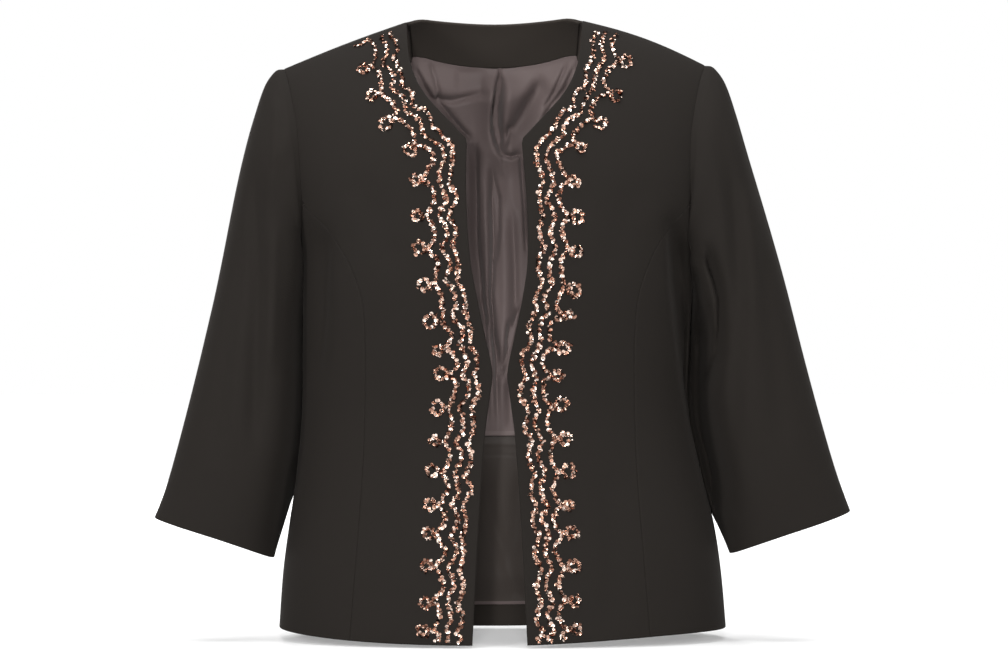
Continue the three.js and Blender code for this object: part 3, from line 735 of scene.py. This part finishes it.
def cloth_wall(name, grid, thick, cloths, closed=False, turned=(0, 0, 0, 0)):
    """A closed wall on a grid of points, rolled over at its edges, with metric UVs.

    The cloths are those of the outside, the inside and the turnings. Inner faces nearer to an edge
    than its turning (first column, last column, hem, top) are of the turnings' cloth.
    """
    rows, columns = grid.shape[:2]
    normal = grid_normals(grid, closed)
    ring = np.concatenate([grid, grid[:, :1]], 1) if closed else grid
    u, v = arc_lengths(ring, 1), arc_lengths(ring, 0)
    edges = [v, v[-1] - v] if closed else [v, v[-1] - v, u, u[:, -1:] - u]
    to_edge = np.minimum.reduce(edges)[:, :columns]
    roll = np.sqrt(1 - (1 - np.minimum(1, to_edge / (0.8 * thick))) ** 2)
    step = normal * (thick / 2 * roll)[..., None]
    outer, inner = grid + step, grid - step
    index = np.arange(rows * columns).reshape(rows, columns)
    rim = to_edge < 1e-6
    inner_index = np.where(rim, index, rows * columns + np.cumsum(~rim).reshape(rim.shape) - 1)
    points = np.concatenate([outer.reshape(-1, 3), inner[~rim]]) * MM

    right = (np.arange(columns) + 1) % columns if closed else np.arange(1, columns)
    left = np.arange(len(right))

    def quads(corner, right):
        low, high = corner[:-1], corner[1:]
        around = [low[:, left], low[:, right], high[:, right], high[:, left]]
        return np.stack(around, -1).reshape(-1, 4)

    outward = np.cross(ring[:-1, 1:] - ring[:-1, :-1], ring[1:, :-1] - ring[:-1, :-1])
    facing_out = (outward * normal[:-1, left]).sum() > 0

    def both_walls(outside, inside):
        if facing_out:
            return np.concatenate([outside, inside[:, ::-1]])
        return np.concatenate([outside[:, ::-1], inside])

    outer_faces = quads(index, right)
    faces = both_walls(outer_faces, quads(inner_index, right))
    mesh = bpy.data.meshes.new(name)
    mesh.from_pydata(points.tolist(), [], faces.tolist())

    laid_out = quads(np.arange(u.size).reshape(u.shape), left + 1)
    middle = u.shape[1] // 2
    flat_uv = np.stack([u - u[:, middle : middle + 1], v], -1).reshape(-1, 2) * MM
    corner_uv = flat_uv[both_walls(laid_out, laid_out).reshape(-1)]
    mesh.uv_layers.new(name="cloth").data.foreach_set("uv", corner_uv.reshape(-1))
    mesh.polygons.foreach_set("use_smooth", [True] * len(faces))

    for cloth in cloths:
        mesh.materials.append(cloth)
    near = [np.zeros(u.shape, bool)]
    for distance, turning in zip((u, u[:, -1:] - u, v, v[-1] - v), turned):
        near.append(distance < turning)
    on_turning = np.logical_or.reduce(near)[:-1, :-1].reshape(-1)
    slots = np.concatenate([np.zeros(len(outer_faces), int), np.where(on_turning, 2, 1)])
    mesh.polygons.foreach_set("material_index", slots)
    mesh.update()
    return add_object(name, mesh)


# ---------------------------------------------------------------- materials


def node(tree, kind, inputs=None, **settings):
    """A node with its settings, and with values or links put into its inputs."""
    made = tree.nodes.new(kind)
    for key, value in settings.items():
        setattr(made, key, value)
    for key, value in (inputs or {}).items():
        if isinstance(value, bpy.types.NodeSocket):
            tree.links.new(value, made.inputs[key])
        else:
            made.inputs[key].default_value = value
    return made


def math_node(tree, operation, a, b=0.0):
    return node(tree, "ShaderNodeMath", {0: a, 1: b}, operation=operation).outputs[0]


def shader_group(name, inputs, outputs):
    tree = bpy.data.node_groups.new(name, "ShaderNodeTree")
    for label, kind, value in inputs:
        item = tree.interface.new_socket(name=label, in_out="INPUT", socket_type="NodeSocket" + kind)
        if value is not None:
            item.default_value = value
    for label, kind in outputs:
        tree.interface.new_socket(name=label, in_out="OUTPUT", socket_type="NodeSocket" + kind)
    return tree, tree.nodes.new("NodeGroupInput").outputs, tree.nodes.new("NodeGroupOutput").inputs


def twill_weave():
    """Fine diagonal ribs crossed by threads, on metric UVs, with thread-to-thread unevenness."""
    tree, given, out = shader_group(
        "Twill weave",
        [("UV", "Vector", None), ("Thread", "Float", 0.0006), ("Unevenness", "Float", 0.35)],
        [("Height", "Float"), ("Tone", "Float")],
    )
    per_metre = math_node(tree, "DIVIDE", 1.0, given["Thread"])
    scaled = node(tree, "ShaderNodeVectorMath", {0: given["UV"], "Scale": per_metre}, operation="SCALE")
    parts = node(tree, "ShaderNodeSeparateXYZ", {0: scaled.outputs[0]})
    diagonal = math_node(tree, "ADD", parts.outputs[0], parts.outputs[1])
    rib = math_node(tree, "SINE", math_node(tree, "MULTIPLY", diagonal, math.pi))
    thread = math_node(tree, "SINE", math_node(tree, "MULTIPLY", parts.outputs[1], 2 * math.pi))
    slub = node(tree, "ShaderNodeTexNoise", {"Vector": scaled.outputs[0], "Scale": 0.55, "Detail": 3.0})
    low_rib = math_node(tree, "MULTIPLY", rib, 0.3)
    weave = math_node(tree, "ADD", low_rib, math_node(tree, "MULTIPLY", thread, 0.14))
    centred = math_node(tree, "SUBTRACT", slub.outputs[0], 0.5)
    uneven = math_node(tree, "MULTIPLY", centred, given["Unevenness"])
    tree.links.new(math_node(tree, "ADD", math_node(tree, "ADD", weave, uneven), 0.5), out["Height"])
    tone = math_node(tree, "ADD", math_node(tree, "MULTIPLY", weave, 0.35), uneven)
    tree.links.new(math_node(tree, "ADD", tone, 0.5), out["Tone"])
    return tree


def soft_mottle():
    """Broad, faint lighter and darker patches, as cloth has where it has been pressed or rubbed."""
    tree, given, out = shader_group(
        "Soft mottle",
        [("Position", "Vector", None), ("Patch", "Float", 9.0), ("Strength", "Float", 0.1)],
        [("Tone", "Float")],
    )
    spread = {"Vector": given["Position"], "Scale": given["Patch"], "Detail": 4.0}
    broad = node(tree, "ShaderNodeTexNoise", spread)
    centred = math_node(tree, "SUBTRACT", broad.outputs[0], 0.5)
    patches = math_node(tree, "MULTIPLY", centred, given["Strength"])
    tree.links.new(math_node(tree, "ADD", patches, 1.0), out["Tone"])
    return tree


WEAVE, MOTTLE = twill_weave(), soft_mottle()


def new_material(name):
    material = bpy.data.materials.new(name)
    material.use_nodes = True
    tree = material.node_tree
    tree.nodes.clear()
    shader = node(tree, "ShaderNodeBsdfPrincipled")
    output = node(tree, "ShaderNodeOutputMaterial")
    tree.links.new(shader.outputs[0], output.inputs[0])
    return material, tree, shader


def cloth_material(
    name, dark, light, thread, weave_height, roughness, gloss, sheen, mottle, sheen_tint
):
    """Woven cloth whose colour runs between a dark and a light shade of its thread."""
    material, tree, shader = new_material(name)
    uv = node(tree, "ShaderNodeUVMap", uv_map="cloth").outputs[0]
    place = node(tree, "ShaderNodeTexCoord").outputs["Object"]
    weave = node(tree, "ShaderNodeGroup", node_tree=WEAVE)
    tree.links.new(uv, weave.inputs["UV"])
    weave.inputs["Thread"].default_value = thread
    patches = node(tree, "ShaderNodeGroup", node_tree=MOTTLE)
    tree.links.new(place, patches.inputs["Position"])
    patches.inputs["Strength"].default_value = mottle
    shade = node(tree, "ShaderNodeMix", {"Factor": weave.outputs["Tone"]}, data_type="RGBA")
    shade.inputs[6].default_value = (*dark, 1)
    shade.inputs[7].default_value = (*light, 1)
    patched = node(
        tree, "ShaderNodeVectorMath", {0: shade.outputs[2], "Scale": patches.outputs["Tone"]},
        operation="SCALE",
    )
    tree.links.new(patched.outputs[0], shader.inputs["Base Color"])
    raised = {"Height": weave.outputs["Height"], "Strength": 0.6, "Distance": weave_height}
    bump = node(tree, "ShaderNodeBump", raised)
    tree.links.new(bump.outputs[0], shader.inputs["Normal"])
    rough = math_node(tree, "MULTIPLY", patches.outputs["Tone"], roughness)
    tree.links.new(rough, shader.inputs["Roughness"])
    shader.inputs["Sheen Weight"].default_value = sheen
    shader.inputs["Sheen Roughness"].default_value = 0.45
    shader.inputs["Sheen Tint"].default_value = (*sheen_tint, 1)
    shader.inputs["Specular IOR Level"].default_value = gloss
    return material


THREAD_HOLE = 0.16  # as a share of the way out from a sequin's middle


def sequin_material():
    """Metal-finished cups in mixed copper and rose gold, with a dark thread hole."""
    material, tree, shader = new_material("copper_sequin")
    pick = node(tree, "ShaderNodeAttribute", attribute_name="sequin_pick").outputs["Fac"]
    ramp = node(tree, "ShaderNodeValToRGB", {0: pick})
    ramp.color_ramp.elements[0].color = (0.14, 0.055, 0.035, 1)
    ramp.color_ramp.elements[1].color = (1.0, 0.84, 0.74, 1)
    middle = ramp.color_ramp.elements.new(0.5)
    middle.color = (0.48, 0.285, 0.21, 1)
    from_middle = node(tree, "ShaderNodeAttribute", attribute_name="from_middle").outputs["Fac"]
    hole = math_node(tree, "LESS_THAN", from_middle, THREAD_HOLE)
    colour = node(tree, "ShaderNodeMix", {"Factor": hole, 6: ramp.outputs[0]}, data_type="RGBA")
    colour.inputs[7].default_value = (0.03, 0.015, 0.01, 1)
    tree.links.new(colour.outputs[2], shader.inputs["Base Color"])
    tree.links.new(math_node(tree, "SUBTRACT", 1.0, hole), shader.inputs["Metallic"])
    rough = math_node(tree, "ADD", math_node(tree, "MULTIPLY", pick, 0.1), 0.16)
    tree.links.new(rough, shader.inputs["Roughness"])
    return material


TWILL = {
    "thread": 0.0006, "weave_height": 0.00012, "roughness": 0.86, "gloss": 0.16,
    "sheen": 0.03, "mottle": 0.14, "sheen_tint": (0.8, 0.72, 0.66),
}
SATIN = {
    "thread": 0.00028, "weave_height": 0.00002, "roughness": 0.52, "gloss": 0.12,
    "sheen": 0.12, "mottle": 0.16, "sheen_tint": (1, 0.95, 0.93),
}
PRESSED_SATIN = {**SATIN, "mottle": 0.3}
DULL_SATIN = {**SATIN, "roughness": 0.5, "sheen": 0.1, "mottle": 0.2}
SUITING = cloth_material("suiting", (0.0114, 0.0093, 0.0078), (0.0178, 0.0148, 0.0125), **TWILL)
# the suiting again, painted about two and a half times lighter: painted light on the facing and the
# turnings, which the lamps barely reach inside
SUITING_PAINTED_LIGHTER = cloth_material(
    "suiting_turnings", (0.028, 0.023, 0.0194), (0.0437, 0.0364, 0.0308), **TWILL
)
TAUPE = cloth_material("taupe_satin", (0.142, 0.109, 0.106), (0.174, 0.136, 0.131), **SATIN)
# the lining satin again, painted lighter: a painted highlight along the upper lining's turned hem
TAUPE_PAINTED_HIGHLIGHT = cloth_material(
    "taupe_satin_turned", (0.168, 0.132, 0.126), (0.22, 0.175, 0.168), **PRESSED_SATIN
)
DARK_SATIN = cloth_material(
    "dark_satin", (0.054, 0.044, 0.0383), (0.0715, 0.0594, 0.0523), **DULL_SATIN
)
SEQUIN = sequin_material()


# ---------------------------------------------------------------- the cut pieces


def flat_cut(grid, closed=False):
    """The size a piece was cut to: its width and length, and its area, in metres."""
    ring = np.concatenate([grid, grid[:, :1]], 1) if closed else grid
    width, length = arc_lengths(ring, 1)[:, -1].max(), arc_lengths(ring, 0)[-1].max()
    a, b = ring[1:, 1:] - ring[:-1, :-1], ring[1:, :-1] - ring[:-1, 1:]
    area = np.linalg.norm(np.cross(a, b), axis=-1).sum() / 2
    return (width * MM, length * MM), area * MM * MM


def sew(name, node_name, grid, thick, cloths, closed=False, turned=(0, 0, 0, 0)):
    piece = cloth_wall(name, grid, thick, cloths, closed, turned)
    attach(piece, "root")
    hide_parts(node_name)
    flat, area = flat_cut(grid, closed)


# how far the turnings reach in from their edges
FACING_WIDTH, HEM_TURN, CUFF_TURN, LINING_TURN = 72, 32, 30, 2.6
# the shell's turnings take the suiting painted lighter, as painted light
SHELL = (SUITING, DARK_SATIN, SUITING_PAINTED_LIGHTER)
for side, hand in ((1, "left"), (-1, "right")):
    sew(
        f"centre_front_{hand}", f"front_{hand}", centre_front(side), CLOTH, SHELL,
        turned=(FACING_WIDTH, 0, HEM_TURN, 0),
    )
    sew(
        f"side_panel_{hand}", f"side_front_{hand}", side_front(side), CLOTH, SHELL,
        turned=(0, 0, HEM_TURN, 0),
    )
    sew(
        f"sleeve_{hand}_cloth", f"sleeve_{hand}", sleeve(side), CLOTH, SHELL,
        closed=True, turned=(0, 0, 0, CUFF_TURN),
    )
sew(
    "back_cloth", "back", back(), CLOTH, SHELL,
    turned=(0, 0, HEM_TURN, 0),
)
# the neck facing is all of the suiting painted lighter, as painted light inside the neck
sew(
    "neck_facing_cloth", "neck_facing", neck_facing(), FACING, (SUITING_PAINTED_LIGHTER,) * 3,
)
# the upper lining's turned hem takes the satin painted lighter, a painted highlight
sew(
    "upper_lining_cloth", "lining_upper", upper_lining(), LINING,
    (TAUPE, TAUPE, TAUPE_PAINTED_HIGHLIGHT), turned=(0, 0, 1.6 * LINING_TURN, 0),
)
sew(
    "lower_lining_cloth", "lining_lower", lower_lining(), LINING,
    (DARK_SATIN, DARK_SATIN, TAUPE), turned=(0, 0, LINING_TURN, 0),
)


# ---------------------------------------------------------------- sequin border

SCALLOPS = 19  # on each side
SCALLOP_LENGTH, FIRST_LOOP = 31.0, 44.5
LOOP_UNEVEN = 3.2  # how far a loop may lie from an even spacing
# how far the loops over the chest lie below it, where along the border, and over what reach
CHEST_SPREAD, CHEST_AT, CHEST_REACH = 10, 270, 90
ROW_DISTANCES = (13.5, 23.5, 35.5)  # of the three rows from the edge
ROW_WAVES = (2.5, 3.0, 4.2)  # how far each row swings out and in
ROW_POINTS = (1.3, 1.2, 0.85)  # how blunt the point of each scallop is
SWING_SHARES = (0.45, 1.45)  # the smallest and largest swing of a scallop
SWAY, SWAY_EVERY = 1.2, 7  # the rows' small stray to either side
LOOP_STEM, LOOP_RADIUS, LOOP_LEAN = 2.4, 5.0, 0.25
LOOP_SIZES = (0.8, 1.18)
SEQUIN_ACROSS, SEQUIN_SPACING, SEQUIN_STRAY = 3.7, 1.4, 1.6
SEQUIN_TILT = math.radians(36)  # the most that one leans from the cloth
SEQUIN_SIZES = (0.8, 1.15)
SEQUIN_LIFT = 0.35  # above the cloth
BORDER_START = 7  # below the shoulder seam
BORDER_END = 3  # above the hem
CORNER_SOFTENING, CORNER_REACH = 16, 60


def border_path():
    """The neckline and front edge from the shoulder down, its corner softened."""
    neck_z = np.linspace(0, NECK_BREAK, 120)
    edge_z = np.linspace(NECK_BREAK, HEM, 480)[1:]
    path = np.concatenate(
        [
            np.stack([curve(NECKLINE, "x", neck_z), neck_z], -1),
            np.stack([curve(FRONT_EDGE, "x", edge_z), edge_z], -1),
        ]
    )
    length = arc_lengths(path, 0)
    places = np.arange(0, length[-1], 1.0)
    path = np.stack([np.interp(places, length, path[:, k]) for k in (0, 1)], -1)
    reach = np.arange(-CORNER_REACH, CORNER_REACH + 1)
    kernel = np.exp(-((reach / CORNER_SOFTENING) ** 2) / 2)
    before = 2 * path[:1] - path[CORNER_REACH:0:-1]
    after = 2 * path[-1:] - path[-2 : -CORNER_REACH - 2 : -1]
    padded = np.concatenate([before, path, after])
    path = np.stack([np.convolve(padded[:, k], kernel / kernel.sum(), "valid") for k in (0, 1)], -1)
    along = np.gradient(path, axis=0)
    along /= np.linalg.norm(along, axis=-1, keepdims=True)
    return path, np.stack([-along[:, 1], along[:, 0]], -1)


def border_rows(seed):
    """Lines of the border in the front view: three scalloped rows and the loops outside them."""
    past_rows, before_first, after_last = 8, 26, 30
    random = np.random.default_rng(seed)
    path, outward = border_path()
    length = len(path) - 1
    along_loops = arc_lengths(path + outward * (ROW_DISTANCES[2] + past_rows), 0)
    places = FIRST_LOOP + SCALLOP_LENGTH * np.arange(-1, SCALLOPS + 1)
    chest = np.exp(-(((places - CHEST_AT) / CHEST_REACH) ** 2))
    places += CHEST_SPREAD * chest + random.uniform(-LOOP_UNEVEN, LOOP_UNEVEN, len(places))
    joints = np.interp(places, along_loops, np.arange(length + 1))
    joints = np.concatenate([joints[:1] - before_first, joints, joints[-1:] + after_last])
    s = np.arange(length + 1)
    k = np.clip(np.searchsorted(joints, s) - 1, 0, len(joints) - 2)
    phase = (s - joints[k]) / (joints[k + 1] - joints[k])
    lines = []
    for distance, wave, point in zip(ROW_DISTANCES, ROW_WAVES, ROW_POINTS):
        scallop = 1 - 2 * np.abs(np.sin(np.pi * phase)) ** point
        swing = np.interp(s, joints + 9, random.uniform(*SWING_SHARES, len(joints)))
        stops = np.arange(0, length + 12, SWAY_EVERY)
        sway = np.interp(s, stops, random.uniform(-SWAY, SWAY, len(stops)))
        lines.append(path + outward * (distance + wave * swing * scallop + sway)[:, None])
    turn = np.linspace(0, 2 * np.pi, 25)
    for joint in joints[(joints > 0) & (joints < length)]:
        i = int(round(joint))
        start = ROW_DISTANCES[2] + ROW_WAVES[2]
        radius = LOOP_RADIUS * random.uniform(*LOOP_SIZES)
        tangent = np.array([-outward[i][1], outward[i][0]])
        lean = random.uniform(-LOOP_LEAN, LOOP_LEAN)
        axis = outward[i] * math.cos(lean) + tangent * math.sin(lean)
        stem = start + np.array([0.5, LOOP_STEM])
        lines.append(path[i] + outward[i] * start + axis * (stem - start)[:, None])
        middle = path[i] + outward[i] * start + axis * (LOOP_STEM + radius)
        across = np.array([-axis[1], axis[0]])
        lines.append(middle - radius * (axis * np.cos(turn)[:, None] + across * np.sin(turn)[:, None]))
    kept = []
    for line in lines:
        x, z = line.T
        on_cloth = (z < shoulder_height(x) - BORDER_START) & (z > HEM + BORDER_END)
        if on_cloth.sum() > 1:
            kept.append(line[on_cloth])
    return kept


def border_mesh(name, side, seed):
    """The border's lines laid on the cloth, each point keeping the way the cloth faces."""
    points, normals, edges = [], [], []
    for line in border_rows(seed):
        x, z = line.T
        here = front_skin(side, x, z)
        across = front_skin(side, x + 0.5, z) - here
        up = front_skin(side, x, z + 0.5) - here
        normal = np.cross(across, up)
        normal /= np.linalg.norm(normal, axis=-1, keepdims=True)
        normal *= -np.sign(normal[:, 1:2])
        start = len(points)
        points.extend(here + normal * (CLOTH / 2 + SEQUIN_LIFT))
        normals.extend(normal)
        edges.extend((i, i + 1) for i in range(start, len(points) - 1))
    mesh = bpy.data.meshes.new(name)
    mesh.from_pydata((np.array(points) * MM).tolist(), edges, [])
    facing = mesh.attributes.new("cloth_facing", "FLOAT_VECTOR", "POINT")
    facing.data.foreach_set("vector", np.array(normals).reshape(-1))
    return add_object(name, mesh)


def sequin_cup():
    """One faceted, eight-sided cup of unit diameter: its rim stands above its flat middle."""
    floor_height = 0.03
    turn = np.arange(8) * np.pi / 4
    rings = [
        np.stack([radius * np.cos(turn), radius * np.sin(turn), np.full(8, height)], -1)
        for radius, height in ((0.5, 0.13), (0.22, floor_height), (0.24, 0))
    ]
    points = np.concatenate([*rings, [(0, 0, floor_height), (0, 0, 0)]])
    faces = []
    for i in range(8):
        j = (i + 1) % 8
        faces += [(i, j, 8 + j, 8 + i), (8 + i, 8 + j, 24)]
        faces += [(j, i, 16 + i, 16 + j), (16 + j, 16 + i, 25)]
    mesh = bpy.data.meshes.new("sequin_cup")
    mesh.from_pydata(points.tolist(), [], faces)
    share = mesh.attributes.new("from_middle", "FLOAT", "POINT")
    share.data.foreach_set("value", [1.0] * 8 + [0.45] * 8 + [0.5] * 8 + [0.0, 0.3])
    return add_object("sequin_cup", mesh)


def sequin_tree():
    """Sequins at an even spacing along lines, each facing as the cloth does with a small tilt."""
    tree = bpy.data.node_groups.new("Sequins along lines", "GeometryNodeTree")
    sockets = {}
    for label, kind, value in (
        ("Lines", "Geometry", None),
        ("Sequin", "Object", None),
        ("Across", "Float", SEQUIN_ACROSS * MM),
        ("Spacing", "Float", SEQUIN_SPACING * MM),
        ("Tilt", "Float", SEQUIN_TILT),
        ("Stray", "Float", SEQUIN_STRAY * MM),
        ("Seed", "Int", 1),
        ("Finish", "Material", None),
    ):
        socket = tree.interface.new_socket(name=label, in_out="INPUT", socket_type="NodeSocket" + kind)
        if value is not None:
            socket.default_value = value
        sockets[label] = socket.identifier
    tree.interface.new_socket(name="Border", in_out="OUTPUT", socket_type="NodeSocketGeometry")
    given, out = tree.nodes.new("NodeGroupInput").outputs, tree.nodes.new("NodeGroupOutput").inputs
    threads = node(tree, "GeometryNodeMeshToCurve", {"Mesh": given["Lines"]})
    spaced = node(
        tree, "GeometryNodeResampleCurve", {"Curve": threads.outputs[0], "Length": given["Spacing"]},
        mode="LENGTH",
    )
    cup = node(tree, "GeometryNodeObjectInfo", {"Object": given["Sequin"]})
    facing = node(
        tree, "GeometryNodeInputNamedAttribute", {"Name": "cloth_facing"}, data_type="FLOAT_VECTOR"
    )
    upright = node(tree, "FunctionNodeAlignRotationToVector", {"Vector": facing.outputs[0]}, axis="Z")
    back_tilt = math_node(tree, "MULTIPLY", given["Tilt"], -1.0)
    low = node(tree, "ShaderNodeCombineXYZ", {0: back_tilt, 1: back_tilt, 2: -math.pi})
    high = node(tree, "ShaderNodeCombineXYZ", {0: given["Tilt"], 1: given["Tilt"], 2: math.pi})
    turned = node(
        tree, "FunctionNodeRandomValue",
        {0: low.outputs[0], 1: high.outputs[0], "Seed": given["Seed"]}, data_type="FLOAT_VECTOR",
    )
    tilted = node(
        tree, "FunctionNodeRotateRotation",
        {"Rotation": upright.outputs[0], "Rotate By": turned.outputs[0]}, rotation_space="LOCAL",
    )
    back_stray = math_node(tree, "MULTIPLY", given["Stray"], -1.0)
    stray_low = node(tree, "ShaderNodeCombineXYZ", {0: back_stray, 2: back_stray})
    stray_high = node(tree, "ShaderNodeCombineXYZ", {0: given["Stray"], 2: given["Stray"]})
    stray = node(
        tree, "FunctionNodeRandomValue",
        {0: stray_low.outputs[0], 1: stray_high.outputs[0], "Seed": 23}, data_type="FLOAT_VECTOR",
    )
    strayed = node(
        tree, "GeometryNodeSetPosition", {"Geometry": spaced.outputs[0], "Offset": stray.outputs[0]}
    )
    sizes = {2: SEQUIN_SIZES[0], 3: SEQUIN_SIZES[1], "Seed": 7}
    uneven = node(tree, "FunctionNodeRandomValue", sizes, data_type="FLOAT")
    size = math_node(tree, "MULTIPLY", uneven.outputs[1], given["Across"])
    placed = node(
        tree, "GeometryNodeInstanceOnPoints",
        {
            "Points": strayed.outputs[0], "Instance": cup.outputs["Geometry"],
            "Rotation": tilted.outputs[0], "Scale": size,
        },
    )
    pick = node(tree, "FunctionNodeRandomValue", {2: 0.0, 3: 1.0, "Seed": 11}, data_type="FLOAT")
    marked = node(
        tree, "GeometryNodeStoreNamedAttribute",
        {"Geometry": placed.outputs[0], "Name": "sequin_pick", "Value": pick.outputs[1]},
        data_type="FLOAT", domain="INSTANCE",
    )
    real = node(tree, "GeometryNodeRealizeInstances", {"Geometry": marked.outputs[0]})
    finished = node(
        tree, "GeometryNodeSetMaterial", {"Geometry": real.outputs[0], "Material": given["Finish"]}
    )
    tree.links.new(finished.outputs[0], out["Border"])
    return tree, sockets


def sequin_border(side, hand, seed):
    lines = border_mesh(f"border_lines_{hand}", side, seed)
    modifier = lines.modifiers.new("Sequins", "NODES")
    modifier.node_group = SEQUIN_TREE
    modifier[SEQUIN_INPUTS["Sequin"]] = CUP
    modifier[SEQUIN_INPUTS["Seed"]] = seed
    modifier[SEQUIN_INPUTS["Finish"]] = SEQUIN
    made = bpy.data.meshes.new_from_object(lines.evaluated_get(bpy.context.evaluated_depsgraph_get()))
    bpy.data.objects.remove(lines)
    made.name = f"sequin_border_{hand}"
    border = add_object(made.name, made)
    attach(border, "root")


CUP = sequin_cup()
SEQUIN_TREE, SEQUIN_INPUTS = sequin_tree()
for side, hand, seed in ((1, "left", 3), (-1, "right", 5)):
    sequin_border(side, hand, seed)
bpy.data.objects.remove(CUP)


# ---------------------------------------------------------------- studio


FLOOR_REACH = 14
AIM = (0, 0, -0.3)
LIGHTS = (
    # name, place, aim, metres across and watts
    ("front", (-0.29, -3.4, -0.1), AIM, 0.14, 31),
    ("front_high", (0.0, -3.4, 0.9), AIM, 0.5, 41),
    ("left", (-2.0, -2.4, 0.5), AIM, 0.8, 44),
    ("right", (2.2, -2.4, 0.5), AIM, 0.8, 27),
    ("back", (-0.7, 3.4, 0.7), AIM, 0.8, 70),
    ("inside", (0.0, -0.03, -0.37), (0, 0.1, -0.37), 0.1, 0.05),
)
OVERHEAD_STRENGTH, OVERHEAD_SPREAD = 2.6, math.radians(50)
CAMERA_PLACE, CAMERA_LENS = (0.0039, -3.4, -0.3067), 123.9


def studio_floor():
    mesh = bpy.data.meshes.new("studio_floor")
    square = ((-1, -1), (1, -1), (1, 1), (-1, 1))
    corners = [(FLOOR_REACH * x, FLOOR_REACH * y, FLOOR * MM) for x, y in square]
    mesh.from_pydata(corners, [], [(0, 1, 2, 3)])
    material, _, shader = new_material("pale_floor")
    shader.inputs["Base Color"].default_value = (0.8, 0.8, 0.8, 1)
    shader.inputs["Emission Color"].default_value = (1, 1, 1, 1)
    shader.inputs["Emission Strength"].default_value = 0.24
    shader.inputs["Roughness"].default_value = 0.9
    shader.inputs["Specular IOR Level"].default_value = 0.0
    mesh.materials.append(material)
    floor = add_object("studio_floor", mesh)
    floor.visible_diffuse = False  # it throws no light up under the hem


def soft_light(name, place, aim, size, watts):
    """A round lamp that the camera doesn't see, turned to what it aims at."""
    light = bpy.data.lights.new(name, "AREA")
    light.shape, light.size, light.energy = "DISK", size, watts
    lamp = add_object(name, light)
    lamp.location = place
    x, y, z = (a - p for a, p in zip(aim, place))
    lamp.rotation_euler = (math.pi / 2 + math.atan2(z, math.hypot(x, y)), 0, math.atan2(-x, y))
    lamp.visible_camera = False


def studio_world():
    """White round the camera's view, and a dimmer room for what the gloss mirrors."""
    world = bpy.data.worlds.new("studio")
    bpy.context.scene.world = world
    world.use_nodes = True
    tree = world.node_tree
    tree.nodes.clear()
    path = node(tree, "ShaderNodeLightPath")
    room = node(tree, "ShaderNodeBackground", {"Color": (1, 1, 1, 1), "Strength": 0.15})
    mirrored = node(tree, "ShaderNodeBackground", {"Color": (0.9, 0.85, 0.8, 1), "Strength": 0.06})
    white = node(tree, "ShaderNodeBackground", {"Color": (1, 1, 1, 1), "Strength": 1.0})
    shown = room
    for ray, other in (("Is Glossy Ray", mirrored), ("Is Camera Ray", white)):
        choice = {0: path.outputs[ray], 1: shown.outputs[0], 2: other.outputs[0]}
        shown = node(tree, "ShaderNodeMixShader", choice)
    node(tree, "ShaderNodeOutputWorld", {0: shown.outputs[0]})


studio_floor()
studio_world()
for light in LIGHTS:
    soft_light(*light)
overhead = add_object("overhead", bpy.data.lights.new("overhead", "SUN"))
overhead.data.energy, overhead.data.angle = OVERHEAD_STRENGTH, OVERHEAD_SPREAD

camera = add_object("camera", bpy.data.cameras.new("camera"))
camera.data.sensor_width, camera.data.lens = 36, CAMERA_LENS
camera.location = CAMERA_PLACE
camera.rotation_euler = (math.pi / 2, 0, 0)
bpy.context.scene.camera = camera
bpy.context.scene.view_settings.view_transform = "Standard"
